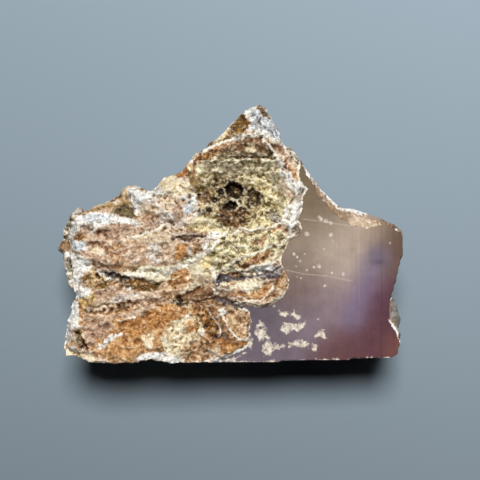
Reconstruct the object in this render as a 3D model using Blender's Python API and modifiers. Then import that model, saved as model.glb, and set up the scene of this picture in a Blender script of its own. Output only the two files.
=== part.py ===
"""A hand specimen of chalcedony: one broken stone with a sawn violet face and a rough, iron-stained rind.

Metres, +Z up. The stone lies on its back on a small flat spot, with the sawn face up and leaning a little
towards -Y. It is worked in the face's own frame first: u to the right, v up the face, w out of the face,
with w = 0 on the sawn plane. A pixel below is one of the photograph's, read by eye on the face.
"""

import math

import bmesh
import bpy
import numpy as np
from mathutils import Matrix, Vector, noise

# Driving sizes
STONE_WIDTH = 0.1115
STONE_THICKNESS = 0.036
FACE_LEAN = math.radians(8)
WALLS_DRAW_IN = 0.24
SPARE_BELOW = 0.012

# Where the face's middle stands over the middle of the resting side
FACE_MIDDLE = Vector((0.0001, -0.0093, STONE_THICKNESS))

# The pixels that the width spans, and the pixel at the middle of the face
LEFT_PIXEL = 56.0
RIGHT_PIXEL = 404.6
MIDDLE_PIXEL = np.array((230.0, 262.0))
PIXEL = STONE_WIDTH / (RIGHT_PIXEL - LEFT_PIXEL)

# Fineness of the solid
BLANK_STEP = 0.0012
TRIANGLES = 9400
WELD = 0.00002
SHARP_EDGE = math.radians(40)

# The rim of the worked side, clockwise from the peak
RIM = [
    (259, 103), (266, 108), (277, 128), (283, 141), (295, 152), (309, 172), (324, 192), (342, 208),
    (354, 209), (376, 216), (397, 225), (404, 232), (404, 250), (398, 275), (394, 290), (390, 303),
    (390, 318), (397, 328), (401, 343), (398, 354), (391, 357), (340, 359), (289, 361), (222, 362),
    (180, 361), (168, 358), (157, 357), (147, 361), (115, 363), (92, 362), (75, 357), (66, 356),
    (62, 346), (66, 325), (71, 304), (76, 295), (73, 280), (70, 262), (68, 250), (66, 238),
    (70, 220), (84, 211), (104, 206), (124, 208), (141, 212), (134, 202), (128, 191), (136, 187),
    (152, 192), (159, 181), (167, 175), (177, 174), (194, 156), (224, 132), (247, 109),
]

# What stands out below the rim and shows past it, each with how far below the face its top lies
SHELF_DEPTH = 0.014
LOWER_SHELVES = {
    "left": ([(76, 297), (69, 287), (64, 266), (62, 252), (56, 249), (62, 238), (61, 230), (67, 216),
              (77, 208), (90, 216), (90, 290)], 0.0032),
    "notch": ([(80, 214), (92, 205), (106, 203), (119, 198), (120, 190), (128, 186), (142, 190),
               (160, 200), (150, 225), (90, 225)], 0.0055),
    "chip": ([(385, 296), (394, 297), (398, 306), (401, 322), (401, 340), (385, 345)], 0.0042),
}

# Broken facets round the back: the way each faces and its undercut, in degrees, and how far below the
# face it passes under the rim's outermost point on that side
FACETS = {
    "front_saw": (270, 14, 0.0),
    "front_left": (222, 34, 0.010),
    "left": (184, 30, 0.014),
    "back_left": (140, 34, 0.009),
    "back_right": (44, 36, 0.008),
    "right": (352, 25, 0.014),
    "keel_left": (193, 56, 0.010),
    "keel_front_left": (226, 60, 0.021),
    "keel_back": (100, 54, 0.009),
    "keel_back_right": (50, 60, 0.014),
    "keel_right": (348, 58, 0.012),
    "keel_front": (270, 58, 0.024),
}

# The rind's edge on the sawn face, from the top of the stone down its free side and round the rest
RIND = [
    (230, 90), (300, 140), (301, 160), (299, 176), (303, 184), (308, 189), (303, 197), (302, 212),
    (298, 219), (303, 229), (299, 235), (291, 239), (286, 247), (282, 256), (281, 262), (285, 272),
    (289, 280), (288, 288), (283, 297), (274, 304), (259, 308), (244, 304), (250, 312), (251, 322),
    (248, 332), (250, 341), (246, 349), (232, 355), (222, 359), (215, 380), (40, 380), (40, 90),
]

# Mounds and hollows of the rind: outline, height above the rest, and how far its wall slopes in
FORMS = {
    "tongue": ([(68, 222), (84, 213), (126, 210), (166, 226), (200, 231), (214, 250), (190, 264),
                (166, 276), (128, 270), (98, 268), (78, 262), (68, 244)], 0.0018, 0.0024),
    "middle_band": ([(75, 286), (88, 276), (112, 280), (140, 288), (168, 286), (196, 278), (206, 284),
                     (190, 294), (170, 300), (128, 305), (92, 307), (77, 298)], 0.0012, 0.0014),
    "low_block": ([(64, 348), (68, 320), (76, 300), (92, 310), (128, 308), (152, 302), (180, 306),
                   (196, 318), (198, 340), (180, 352), (150, 356), (92, 360), (76, 355)], 0.0018, 0.0020),
    "corner_slab": ([(199, 304), (214, 303), (236, 308), (249, 313), (250, 341), (236, 351),
                     (222, 358), (204, 350), (196, 330)], 0.0012, 0.0010),
    "island": ([(213, 285), (226, 286), (246, 281), (264, 278), (281, 266), (288, 282), (283, 296),
                (273, 303), (258, 307), (240, 304), (226, 298)], 0.0010, 0.0008),
    "shoulder": ([(130, 192), (158, 184), (178, 176), (194, 182), (204, 204), (218, 222), (204, 230),
                  (170, 226), (142, 214)], 0.0020, 0.0028),
    "vug_lip": ([(262, 138), (272, 146), (282, 160), (292, 172), (300, 186), (304, 196), (300, 212),
                 (298, 226), (288, 236), (286, 222), (292, 206), (292, 188), (284, 172),
                 (272, 158)], 0.0018, 0.0009),
    "striped_mound": ([(206, 242), (228, 236), (262, 233), (292, 230), (284, 248), (280, 262),
                       (262, 268), (222, 271), (206, 262)], 0.0013, 0.0016),
    "peak_plate": ([(204, 146), (224, 140), (258, 136), (270, 146), (286, 148), (278, 130), (264, 104),
                    (244, 108), (222, 130)], 0.0014, 0.0010),
    "vug": ([(196, 172), (206, 160), (240, 153), (274, 157), (290, 176), (293, 196), (287, 216),
             (266, 229), (240, 231), (218, 222), (206, 206), (194, 192)], -0.0068, 0.0075),
    "vug_cave": ([(224, 186), (232, 181), (243, 185), (254, 187), (258, 197), (246, 201), (242, 209),
                  (230, 212), (223, 203), (232, 198)], -0.0034, 0.0012),
    "left_slit": ([(97, 270), (112, 271), (127, 274), (150, 279), (168, 281), (160, 288), (144, 290),
                   (126, 284), (108, 278)], -0.0030, 0.0008),
    "lens": ([(176, 237), (184, 233), (207, 236), (196, 241), (182, 243)], -0.0018, 0.0007),
    "upper_channel": ([(212, 281), (221, 272), (232, 271), (262, 268), (277, 270), (262, 277),
                       (240, 281), (222, 285)], -0.0024, 0.0008),
    "lower_channel": ([(178, 297), (206, 298), (216, 294), (232, 300), (252, 307), (256, 311),
                       (238, 311), (218, 306), (196, 304)], -0.0022, 0.0008),
    "corner_hole": ([(73, 330), (80, 331), (88, 341), (91, 350), (84, 349), (77, 339)],
                    -0.0028, 0.0010),
}

# How high the rind stands on the sawn plane, how wide the slope at its edge is, and how far and from
# where it rolls off at the rim
RIND_STANDS_OUT = 0.0006
RIND_EDGE = (-0.0002, 0.0012)
ROLL_OFF = 0.0022
ROLL_OFF_WIDTH = 0.0040

# Relief as (height, spacing) of its lumps, ripples, ridges and pits, and how ripples are drawn out
FACE_LUMPS = (0.0015, 0.011)
FACE_RIPPLES = (0.0009, 0.0035)
FACE_RIPPLES_FLAT = (1.0, 1.8, 1.0)
FACE_PITS = (0.0011, 0.0048)
SIDE_LUMPS = (0.0013, 0.016)
SIDE_KNOBS = (0.0008, 0.006)
SIDE_KNOBS_FLAT = (1.0, 1.0, 1.6)
SIDE_RIDGES = (0.0011, 0.012)
SIDE_PITS = (0.0012, 0.0060)
PIT_WALL = (0.10, 0.42)

# The relief fades in this far below the face, and the sawn front wall keeps this share of it
SIDE_FADE = 0.004
SAW_KEEPS = 0.08

# What counts as the worked side and as the sawn wall: how square a face looks that way, and how deep
LOOKS_UP = (0.35, 0.80)
LOOKS_FRONT = (0.90, 0.97)
WORKED_DEPTH = (-0.004, -0.001)


def on_face(pixels):
    """The face points under these pixels, in metres from the middle of the face."""
    return (np.array(pixels, float) - MIDDLE_PIXEL) * (PIXEL, -PIXEL)


def smooth_step(low, high, value):
    """0 below low, 1 above high, and an even curve between them."""
    share = np.clip((value - low) / (high - low), 0.0, 1.0)
    return share * share * (3.0 - 2.0 * share)


def inside_by(points, outline):
    """How far each point lies inside a closed outline: negative outside it."""
    nearest = np.full(len(points), np.inf)
    inside = np.zeros(len(points), bool)
    for start, end in zip(outline, np.roll(outline, -1, axis=0)):
        along = end - start
        share = np.clip((points - start) @ along / (along @ along), 0.0, 1.0)
        nearest = np.minimum(nearest, np.linalg.norm(points - start - np.outer(share, along), axis=1))
        if start[1] != end[1]:
            crossing = start[0] + (points[:, 1] - start[1]) * along[0] / along[1]
            inside ^= ((start[1] > points[:, 1]) != (end[1] > points[:, 1])) & (points[:, 0] < crossing)
    return np.where(inside, nearest, -nearest)


def rough(points, size, octaves=4):
    """Even-handed noise of about -1 to 1, whose lumps are about the given size."""
    return np.array([noise.fractal(Vector(p) / size, 1.0, 2.1, octaves) for p in points])


def ridged(points, size, octaves=3):
    """Sharp-crested noise, about 0 on average."""
    crests = [noise.ridged_multi_fractal(Vector(p) / size, 1.0, 2.0, octaves, 1.0, 2.0) for p in points]
    return np.array(crests) - 1.0


def pits(points, spacing):
    """1 in the middle of each of many scattered pits and 0 between them."""
    nearest = np.array([noise.voronoi(Vector(p) / spacing)[0][0] for p in points])
    return 1.0 - smooth_step(*PIT_WALL, nearest)


def slab(name, outline, top, bottom, collection):
    """A flat closed slab of that outline between two heights, as a mesh object."""
    curve = bpy.data.curves.new(name, "CURVE")
    curve.dimensions = "2D"
    curve.fill_mode = "BOTH"
    curve.extrude = (top - bottom) / 2
    spline = curve.splines.new("POLY")
    spline.points.add(len(outline) - 1)
    for point, place in zip(spline.points, on_face(outline)):
        point.co = (*place, 0.0, 1.0)
    spline.use_cyclic_u = True
    flat = bpy.data.objects.new(name + "_outline", curve)
    flat.location.z = (top + bottom) / 2
    collection.objects.link(flat)
    bpy.context.view_layer.update()
    mesh = bpy.data.meshes.new_from_object(flat.evaluated_get(bpy.context.evaluated_depsgraph_get()))
    mesh.transform(flat.matrix_world)
    bpy.data.objects.remove(flat)
    work = bmesh.new()
    work.from_mesh(mesh)
    bmesh.ops.remove_doubles(work, verts=work.verts, dist=WELD)
    bmesh.ops.recalc_face_normals(work, faces=work.faces)
    work.to_mesh(mesh)
    work.free()
    made = bpy.data.objects.new(name, mesh)
    collection.objects.link(made)
    return made


def apply_modifiers(obj):
    """Puts the object's evaluated mesh back on it."""
    bpy.context.view_layer.update()
    mesh = bpy.data.meshes.new_from_object(obj.evaluated_get(bpy.context.evaluated_depsgraph_get()))
    obj.modifiers.clear()
    obj.data = mesh


def cut_away(work, point, outward):
    """Takes off everything beyond a plane and closes the cut."""
    bmesh.ops.bisect_plane(
        work, geom=work.verts[:] + work.edges[:] + work.faces[:], plane_co=point, plane_no=outward,
        clear_outer=True, dist=1e-7,
    )
    open_edges = [edge for edge in work.edges if edge.is_boundary]
    if open_edges:
        bmesh.ops.holes_fill(work, edges=open_edges, sides=0)
        bmesh.ops.recalc_face_normals(work, faces=work.faces)


def stone_blank(collection, guides):
    """The rim's slab with the lower shelves, drawn in towards its back and cut round by the facets."""
    blank = slab("chalcedony", RIM, 0.0, -STONE_THICKNESS - SPARE_BELOW, collection)
    for vertex in blank.data.vertices:
        vertex.co.xy *= 1.0 + WALLS_DRAW_IN * vertex.co.z / STONE_THICKNESS
    for name, (outline, top) in LOWER_SHELVES.items():
        shelf = slab("shelf_" + name, outline, -top, -top - SHELF_DEPTH, guides)
        shelf.hide_render = True
        shelf.display_type = "WIRE"
        join = blank.modifiers.new("with_" + name, "BOOLEAN")
        join.operation = "UNION"
        join.object = shelf
    apply_modifiers(blank)
    work = bmesh.new()
    work.from_mesh(blank.data)
    rim = on_face(RIM)
    for heading, undercut, start in FACETS.values():
        turn, under = math.radians(heading), math.radians(undercut)
        way = np.array((math.cos(turn), math.sin(turn)))
        furthest = rim[np.argmax(rim @ way)]
        outward = Vector((*(way * math.cos(under)), -math.sin(under)))
        cut_away(work, Vector((*furthest, -start)), outward)
    work.to_mesh(blank.data)
    work.free()
    even = blank.modifiers.new("even_faces", "REMESH")
    even.mode = "VOXEL"
    even.voxel_size = BLANK_STEP
    apply_modifiers(blank)
    return blank


def front_height(points):
    """How far the worked side stands above the sawn plane at these face points."""
    on_rind = smooth_step(*RIND_EDGE, inside_by(points, on_face(RIND)))
    spots = np.column_stack((points, np.zeros(len(points))))
    height = RIND_STANDS_OUT + FACE_LUMPS[0] * rough(spots, FACE_LUMPS[1])
    height += FACE_RIPPLES[0] * rough(spots * FACE_RIPPLES_FLAT, FACE_RIPPLES[1])
    height -= FACE_PITS[0] * pits(spots, FACE_PITS[1])
    for outline, rise, wall in FORMS.values():
        height += rise * smooth_step(0.0, wall, inside_by(points, on_face(outline)))
    height -= ROLL_OFF * (1.0 - smooth_step(0.0, ROLL_OFF_WIDTH, inside_by(points, on_face(RIM))))
    return on_rind * height


def carve(stone):
    """Gives the worked side its relief and the rest of the stone its lumps, pits and ridges."""
    mesh = stone.data
    count = len(mesh.vertices)
    places, normals = np.empty(count * 3), np.empty(count * 3)
    mesh.vertices.foreach_get("co", places)
    mesh.vertices.foreach_get("normal", normals)
    places, normals = places.reshape(-1, 3), normals.reshape(-1, 3)
    front = smooth_step(*LOOKS_UP, normals[:, 2]) * smooth_step(*WORKED_DEPTH, places[:, 2])
    sawn = smooth_step(*LOOKS_FRONT, -normals[:, 1])
    below = smooth_step(0.0, SIDE_FADE, -places[:, 2])
    lumps = SIDE_LUMPS[0] * rough(places, SIDE_LUMPS[1])
    lumps += SIDE_KNOBS[0] * rough(places * SIDE_KNOBS_FLAT, SIDE_KNOBS[1])
    lumps += SIDE_RIDGES[0] * ridged(places, SIDE_RIDGES[1]) - SIDE_PITS[0] * pits(places, SIDE_PITS[1])
    side = below * (1.0 - (1.0 - SAW_KEEPS) * sawn) * (1.0 - front) * lumps
    raised = front * front_height(places[:, :2])
    moved = places + normals * side[:, None]
    moved[:, 2] += raised
    mesh.vertices.foreach_set("co", moved.ravel())
    mesh.update()
    uneven = stone.vertex_groups.new(name="uneven")
    for index in np.flatnonzero(raised):
        uneven.add([int(index)], 1.0, "REPLACE")
    eased = stone.modifiers.new("eased_steps", "SMOOTH")
    eased.vertex_group = uneven.name
    eased.factor = 0.5
    eased.iterations = 2
    apply_modifiers(stone)


def drop_crumbs(work):
    """Deletes every loose bit that the level cut parts from the stone."""
    reached, waiting = set(), [max(work.verts, key=lambda vertex: vertex.co.z)]
    while waiting:
        vertex = waiting.pop()
        if vertex not in reached:
            reached.add(vertex)
            waiting += [edge.other_vert(vertex) for edge in vertex.link_edges]
    bmesh.ops.delete(work, geom=[v for v in work.verts if v not in reached], context="VERTS")


def stand_on_flat_spot(stone):
    """Leans the face, cuts the resting spot level and sets the stone over the origin."""
    mesh = stone.data
    mesh.transform(Matrix.Rotation(FACE_LEAN, 4, "X"))
    work = bmesh.new()
    work.from_mesh(mesh)
    cut_away(work, Vector((0.0, 0.0, -STONE_THICKNESS)), Vector((0.0, 0.0, -1.0)))
    drop_crumbs(work)
    bmesh.ops.dissolve_degenerate(work, edges=work.edges, dist=WELD)
    bmesh.ops.triangulate(work, faces=work.faces)
    bmesh.ops.translate(work, verts=work.verts, vec=FACE_MIDDLE)
    work.to_mesh(mesh)
    work.free()


def stone_material():
    material = bpy.data.materials.new("stained_chalcedony")
    material.use_nodes = True
    shader = material.node_tree.nodes["Principled BSDF"]
    shader.inputs["Base Color"].default_value = (0.45, 0.33, 0.24, 1.0)
    shader.inputs["Roughness"].default_value = 0.6
    shader.inputs["Metallic"].default_value = 0.0
    return material


for old in list(bpy.data.objects):
    bpy.data.objects.remove(old)
specimen = bpy.data.collections.new("chalcedony_specimen")
guide_shapes = bpy.data.collections.new("guide_shapes")
bpy.context.scene.collection.children.link(specimen)
bpy.context.scene.collection.children.link(guide_shapes)

chalcedony = stone_blank(specimen, guide_shapes)
carve(chalcedony)
fewer = chalcedony.modifiers.new("fewer_faces", "DECIMATE")
fewer.ratio = TRIANGLES / (2 * len(chalcedony.data.polygons))
apply_modifiers(chalcedony)
stand_on_flat_spot(chalcedony)
chalcedony.data.materials.clear()
chalcedony.data.materials.append(stone_material())
chalcedony.data.shade_smooth()
chalcedony.data.set_sharp_from_angle(angle=SHARP_EDGE)
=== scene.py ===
"""The looks of a hand specimen of chalcedony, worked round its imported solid.

Metres, +Z up. The stone lies on its back, its sawn face up. A pixel below is one of the photograph's, and
stands for a place on that face.
"""

import math

import bmesh
import bpy
import numpy as np
from mathutils import Matrix, Vector, noise


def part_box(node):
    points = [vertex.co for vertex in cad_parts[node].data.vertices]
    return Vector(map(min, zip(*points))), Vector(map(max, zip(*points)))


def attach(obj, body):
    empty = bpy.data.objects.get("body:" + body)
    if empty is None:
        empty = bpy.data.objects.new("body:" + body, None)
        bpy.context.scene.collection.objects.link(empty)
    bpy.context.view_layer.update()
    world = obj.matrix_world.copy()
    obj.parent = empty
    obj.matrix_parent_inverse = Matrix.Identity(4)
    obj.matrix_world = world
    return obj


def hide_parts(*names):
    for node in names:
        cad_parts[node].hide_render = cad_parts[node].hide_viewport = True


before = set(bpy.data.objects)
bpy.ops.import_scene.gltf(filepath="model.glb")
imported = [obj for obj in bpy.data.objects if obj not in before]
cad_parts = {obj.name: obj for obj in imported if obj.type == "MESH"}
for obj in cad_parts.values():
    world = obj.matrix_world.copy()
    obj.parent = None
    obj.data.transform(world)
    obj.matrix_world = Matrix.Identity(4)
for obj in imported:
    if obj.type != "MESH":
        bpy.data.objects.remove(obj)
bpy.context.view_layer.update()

# The block. The stone is one lump of chalcedony in its own rind, sawn flat on the face and along the front
# and broken everywhere else. Its outline, lower shelves and facets are the solid's own, cut again at a
# finer step so that pores and clean saw edges can be shaped in it.

stone_low, stone_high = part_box("chalcedony")
STONE_THICKNESS = 0.036
FACE_LEAN = math.radians(8)
WALLS_DRAW_IN = 0.24
SPARE_BELOW = 0.012
FACE_MIDDLE = Vector((0.0001, -0.0093, STONE_THICKNESS + stone_low.z))
LEFT_PIXEL = 56.0
RIGHT_PIXEL = 404.6
MIDDLE_PIXEL = np.array((230.0, 262.0))
PIXEL = (stone_high.x - stone_low.x) / (RIGHT_PIXEL - LEFT_PIXEL)
BLOCK_STEP = 0.00068
WELD = 0.00002
CUT_TOLERANCE = 1e-7
SHELF_DEPTH = 0.014

RIM = [
    (259, 103), (266, 108), (277, 128), (283, 141), (295, 152), (309, 172), (324, 192), (342, 208),
    (354, 209), (376, 216), (397, 225), (404, 232), (404, 250), (398, 275), (394, 290), (390, 303),
    (390, 318), (397, 328), (401, 343), (398, 355), (391, 358.3), (340, 360.3), (289, 361.8), (222, 363.2),
    (180, 362.6), (166, 362.4), (158, 361), (151, 359), (144, 361), (136, 363), (115, 364), (92, 363),
    (75, 357), (66, 356), (62, 346), (66, 325), (71, 304), (76, 295), (73, 280), (70, 262), (68, 250),
    (66, 238), (70, 220), (84, 211), (104, 206), (124, 208), (138, 213), (131, 203), (126, 191), (136, 187),
    (152, 192), (159, 181), (167, 175), (177, 174), (194, 156), (224, 132), (247, 109),
]
LOWER_SHELVES = {
    "left": ([(76, 297), (69, 287), (64, 266), (62, 252), (56, 249), (62, 238), (61, 230), (67, 216),
              (77, 208), (90, 216), (90, 290)], 0.0032),
    "notch": ([(80, 214), (92, 205), (106, 203), (119, 198), (120, 190), (128, 186), (142, 190),
               (160, 200), (150, 225), (90, 225)], 0.0055),
    "chip": ([(385, 296), (394, 297), (398, 306), (401, 322), (401, 340), (385, 345)], 0.0042),
}
# The way each facet faces and its undercut, in degrees, and how deep it passes below the rim
FACETS = {
    "front_saw": (270, 14, 0.0),
    "front_left": (222, 34, 0.010),
    "left": (184, 30, 0.014),
    "back_left": (140, 34, 0.009),
    "back_right": (44, 36, 0.008),
    "right": (352, 25, 0.014),
    "keel_left": (193, 56, 0.010),
    "keel_front_left": (226, 60, 0.021),
    "keel_back": (100, 54, 0.009),
    "keel_back_right": (50, 60, 0.014),
    "keel_right": (348, 58, 0.012),
    "keel_front": (270, 58, 0.024),
}


def on_face(pixels):
    """The face points under these pixels, in metres from the middle of the face."""
    return (np.array(pixels, float) - MIDDLE_PIXEL) * (PIXEL, -PIXEL)


def slab(name, outline, top, bottom):
    """A flat closed slab of that outline between two heights, as a mesh object."""
    curve = bpy.data.curves.new(name, "CURVE")
    curve.dimensions = "2D"
    curve.fill_mode = "BOTH"
    curve.extrude = (top - bottom) / 2
    spline = curve.splines.new("POLY")
    spline.points.add(len(outline) - 1)
    for point, place in zip(spline.points, on_face(outline)):
        point.co = (*place, 0.0, 1.0)
    spline.use_cyclic_u = True
    flat = bpy.data.objects.new(name + "_outline", curve)
    bpy.context.scene.collection.objects.link(flat)
    bpy.context.view_layer.update()
    mesh = bpy.data.meshes.new_from_object(flat.evaluated_get(bpy.context.evaluated_depsgraph_get()))
    bpy.data.objects.remove(flat)
    work = bmesh.new()
    work.from_mesh(mesh)
    bmesh.ops.translate(work, verts=work.verts, vec=(0.0, 0.0, (top + bottom) / 2))
    bmesh.ops.remove_doubles(work, verts=work.verts, dist=WELD)
    bmesh.ops.recalc_face_normals(work, faces=work.faces)
    work.to_mesh(mesh)
    work.free()
    made = bpy.data.objects.new(name, mesh)
    bpy.context.scene.collection.objects.link(made)
    return made


def apply_modifiers(obj):
    """Puts the object's evaluated mesh back on it."""
    bpy.context.view_layer.update()
    mesh = bpy.data.meshes.new_from_object(obj.evaluated_get(bpy.context.evaluated_depsgraph_get()))
    obj.modifiers.clear()
    obj.data = mesh


def cut_away(work, point, outward):
    """Takes off everything beyond a plane and closes the cut."""
    bmesh.ops.bisect_plane(
        work, geom=work.verts[:] + work.edges[:] + work.faces[:], plane_co=point, plane_no=outward,
        clear_outer=True, dist=CUT_TOLERANCE,
    )
    open_edges = [edge for edge in work.edges if edge.is_boundary]
    if open_edges:
        bmesh.ops.holes_fill(work, edges=open_edges, sides=0)
        bmesh.ops.recalc_face_normals(work, faces=work.faces)


stone = slab("chalcedony_stone", RIM, 0.0, -STONE_THICKNESS - SPARE_BELOW)
for vertex in stone.data.vertices:
    vertex.co.xy *= 1.0 + WALLS_DRAW_IN * vertex.co.z / STONE_THICKNESS
shelves = [slab("shelf_" + name, outline, -top, -top - SHELF_DEPTH)
           for name, (outline, top) in LOWER_SHELVES.items()]
for shelf in shelves:
    join = stone.modifiers.new(shelf.name, "BOOLEAN")
    join.operation = "UNION"
    join.object = shelf
apply_modifiers(stone)
for shelf in shelves:
    bpy.data.objects.remove(shelf)
block = bmesh.new()
block.from_mesh(stone.data)
for heading, undercut, start in FACETS.values():
    turn, under = math.radians(heading), math.radians(undercut)
    way = np.array((math.cos(turn), math.sin(turn)))
    furthest = max(on_face(RIM), key=lambda point: point @ way)
    outward = Vector((*(way * math.cos(under)), -math.sin(under)))
    cut_away(block, Vector((*furthest, -start)), outward)
block.to_mesh(stone.data)
block.free()
even = stone.modifiers.new("even_faces", "REMESH")
even.mode = "VOXEL"
even.voxel_size = BLOCK_STEP
apply_modifiers(stone)

# The worked side. Where the rind begins it stands a little proud of the sawn plane, and the mesh is made
# twice as fine there, round the rim and round the cream patches, to hold crumbs and clean borders.

RIND = [
    (230, 90), (290, 90), (301, 140), (301, 160), (299, 176), (303, 184), (308, 189), (303, 197), (302, 212),
    (298, 219), (303, 229), (299, 235), (291, 239), (286, 247), (282, 256), (281, 262), (285, 272),
    (289, 280), (288, 288), (283, 297), (274, 304), (259, 308), (244, 304), (250, 312), (251, 322),
    (248, 332), (250, 341), (246, 349), (232, 355), (222, 359), (215, 380), (40, 380), (40, 90),
]
CREAM_PATCHES = [
    [(277, 311), (281, 309), (284, 312), (289, 311), (287, 315), (282, 316)],
    [(291, 314), (294, 311), (297, 315), (301, 317), (297, 319), (293, 317)],
    [(281, 325), (288, 322), (296, 324), (306, 322), (304, 329), (296, 331), (291, 330), (286, 335),
     (281, 333)],
    [(316, 336), (319, 331), (323, 330), (326, 336), (329, 339), (322, 338)],
    [(255, 333), (256, 326), (260, 322), (264, 325), (267, 332), (270, 338), (264, 340), (258, 341)],
    [(262, 346), (267, 341), (273, 342), (284, 342), (285, 347), (272, 352), (265, 356), (261, 352)],
    [(288, 343), (298, 341), (308, 342), (318, 345), (316, 350), (306, 347), (296, 347), (289, 347)],
    [(247, 333), (251, 330), (253, 338), (251, 347), (247, 347)],
    [(222, 361), (236, 357), (245, 351), (246, 353), (236, 360)],
]
SPECKS = [
    (307, 234, 2.3), (331, 235, 2.0), (333, 241, 1.3), (294, 254, 1.4), (297, 257, 1.1), (300, 261, 1.2),
    (305, 254, 0.9), (319, 266, 2.0), (314, 267, 1.2), (307, 270, 1.0), (332, 273, 1.2), (343.5, 274, 1.6),
    (325, 286, 1.4), (301, 278, 0.8), (297, 277, 0.7), (324, 249, 1.0), (319, 217, 1.6), (326, 221, 2.2),
    (321, 219, 1.7), (331, 223, 1.8), (296, 266, 0.9), (390, 243, 0.9), (274, 306, 1.2), (318, 319, 0.9),
]
HEALED_CRACKS = [
    [(303, 219), (319, 221), (331, 223), (352, 226), (366, 228)],
    [(286, 270), (304, 274), (327, 276), (352, 281)],
]
CHIPPED_FRONT = [(222, 362.2), (289, 361.3), (340, 359.8), (391, 357.8)]
FINE_BORDER = 0.0016
FINE_MARKS = 0.0008
FINE_RIM = 0.0022
TOP_BAND = 0.0040
FACES_UP = 0.3


def smooth_step(low, high, value):
    """0 below low, 1 above high, and an even curve between them."""
    share = np.clip((value - low) / (high - low), 0.0, 1.0)
    return share * share * (3.0 - 2.0 * share)


def from_line(points, line, closed=False):
    """How far each point is from a line through these points."""
    nearest = np.full(len(points), np.inf)
    ends = np.roll(line, -1, axis=0) if closed else line[1:]
    for start, end in zip(line, ends):
        along = end - start
        share = np.clip((points - start) @ along / (along @ along), 0.0, 1.0)
        nearest = np.minimum(nearest, np.linalg.norm(points - start - np.outer(share, along), axis=1))
    return nearest


def inside_by(points, outline):
    """How far each point lies inside a closed outline: negative outside it."""
    inside = np.zeros(len(points), bool)
    for start, end in zip(outline, np.roll(outline, -1, axis=0)):
        if start[1] != end[1]:
            crossing = start[0] + (points[:, 1] - start[1]) * (end[0] - start[0]) / (end[1] - start[1])
            inside ^= ((start[1] > points[:, 1]) != (end[1] > points[:, 1])) & (points[:, 0] < crossing)
    nearest = from_line(points, outline, closed=True)
    return np.where(inside, nearest, -nearest)


def vertex_array(mesh, kind):
    """Every vertex's place or normal, one row each."""
    values = np.empty(len(mesh.vertices) * 3)
    mesh.vertices.foreach_get(kind, values)
    return values.reshape(-1, 3)


def in_cream(points):
    """How far each point lies inside the nearest cream patch: negative outside them all."""
    return np.max([inside_by(points, on_face(outline)) for outline in CREAM_PATCHES], axis=0)


def in_speck(points):
    """How far each point lies inside the nearest speck: negative outside them all."""
    return np.max([radius * PIXEL - np.linalg.norm(points - on_face((x, y)), axis=1)
                   for x, y, radius in SPECKS], axis=0)


def from_lines(points, lines):
    """How far each point is from the nearest of several lines drawn in pixels."""
    return np.min([from_line(points, on_face(line)) for line in lines], axis=0)


places, normals = vertex_array(stone.data, "co"), vertex_array(stone.data, "normal")
to_rim = from_line(places[:, :2], on_face(RIM), closed=True)
upward = (normals[:, 2] > FACES_UP) & (places[:, 2] > -TOP_BAND)
near_border = inside_by(places[:, :2], on_face(RIND)) > -FINE_BORDER
near_rim = (to_rim < FINE_RIM) & (places[:, 2] > -FINE_RIM)
near_marks = (in_speck(places[:, :2]) > -FINE_MARKS) | (from_lines(places[:, :2], HEALED_CRACKS) < FINE_MARKS)
near_cream = in_cream(places[:, :2]) > -FINE_BORDER
wants_fine = (upward & (near_border | near_cream | near_marks)) | near_rim
block = bmesh.new()
block.from_mesh(stone.data)
block.verts.ensure_lookup_table()
fine_faces = [face for face in block.faces if all(wants_fine[vertex.index] for vertex in face.verts)]
fine_edges = {edge for face in fine_faces for edge in face.edges}
bmesh.ops.subdivide_edges(block, edges=list(fine_edges), cuts=1, use_grid_fill=True)
block.to_mesh(stone.data)
block.free()

# The relief. Mounds, ledges, channels and the vug are the solid's own. Between them lie smaller things: thin
# raised seams of white quartz, open pores, crumbs of rind and hairline cracks.

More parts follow.
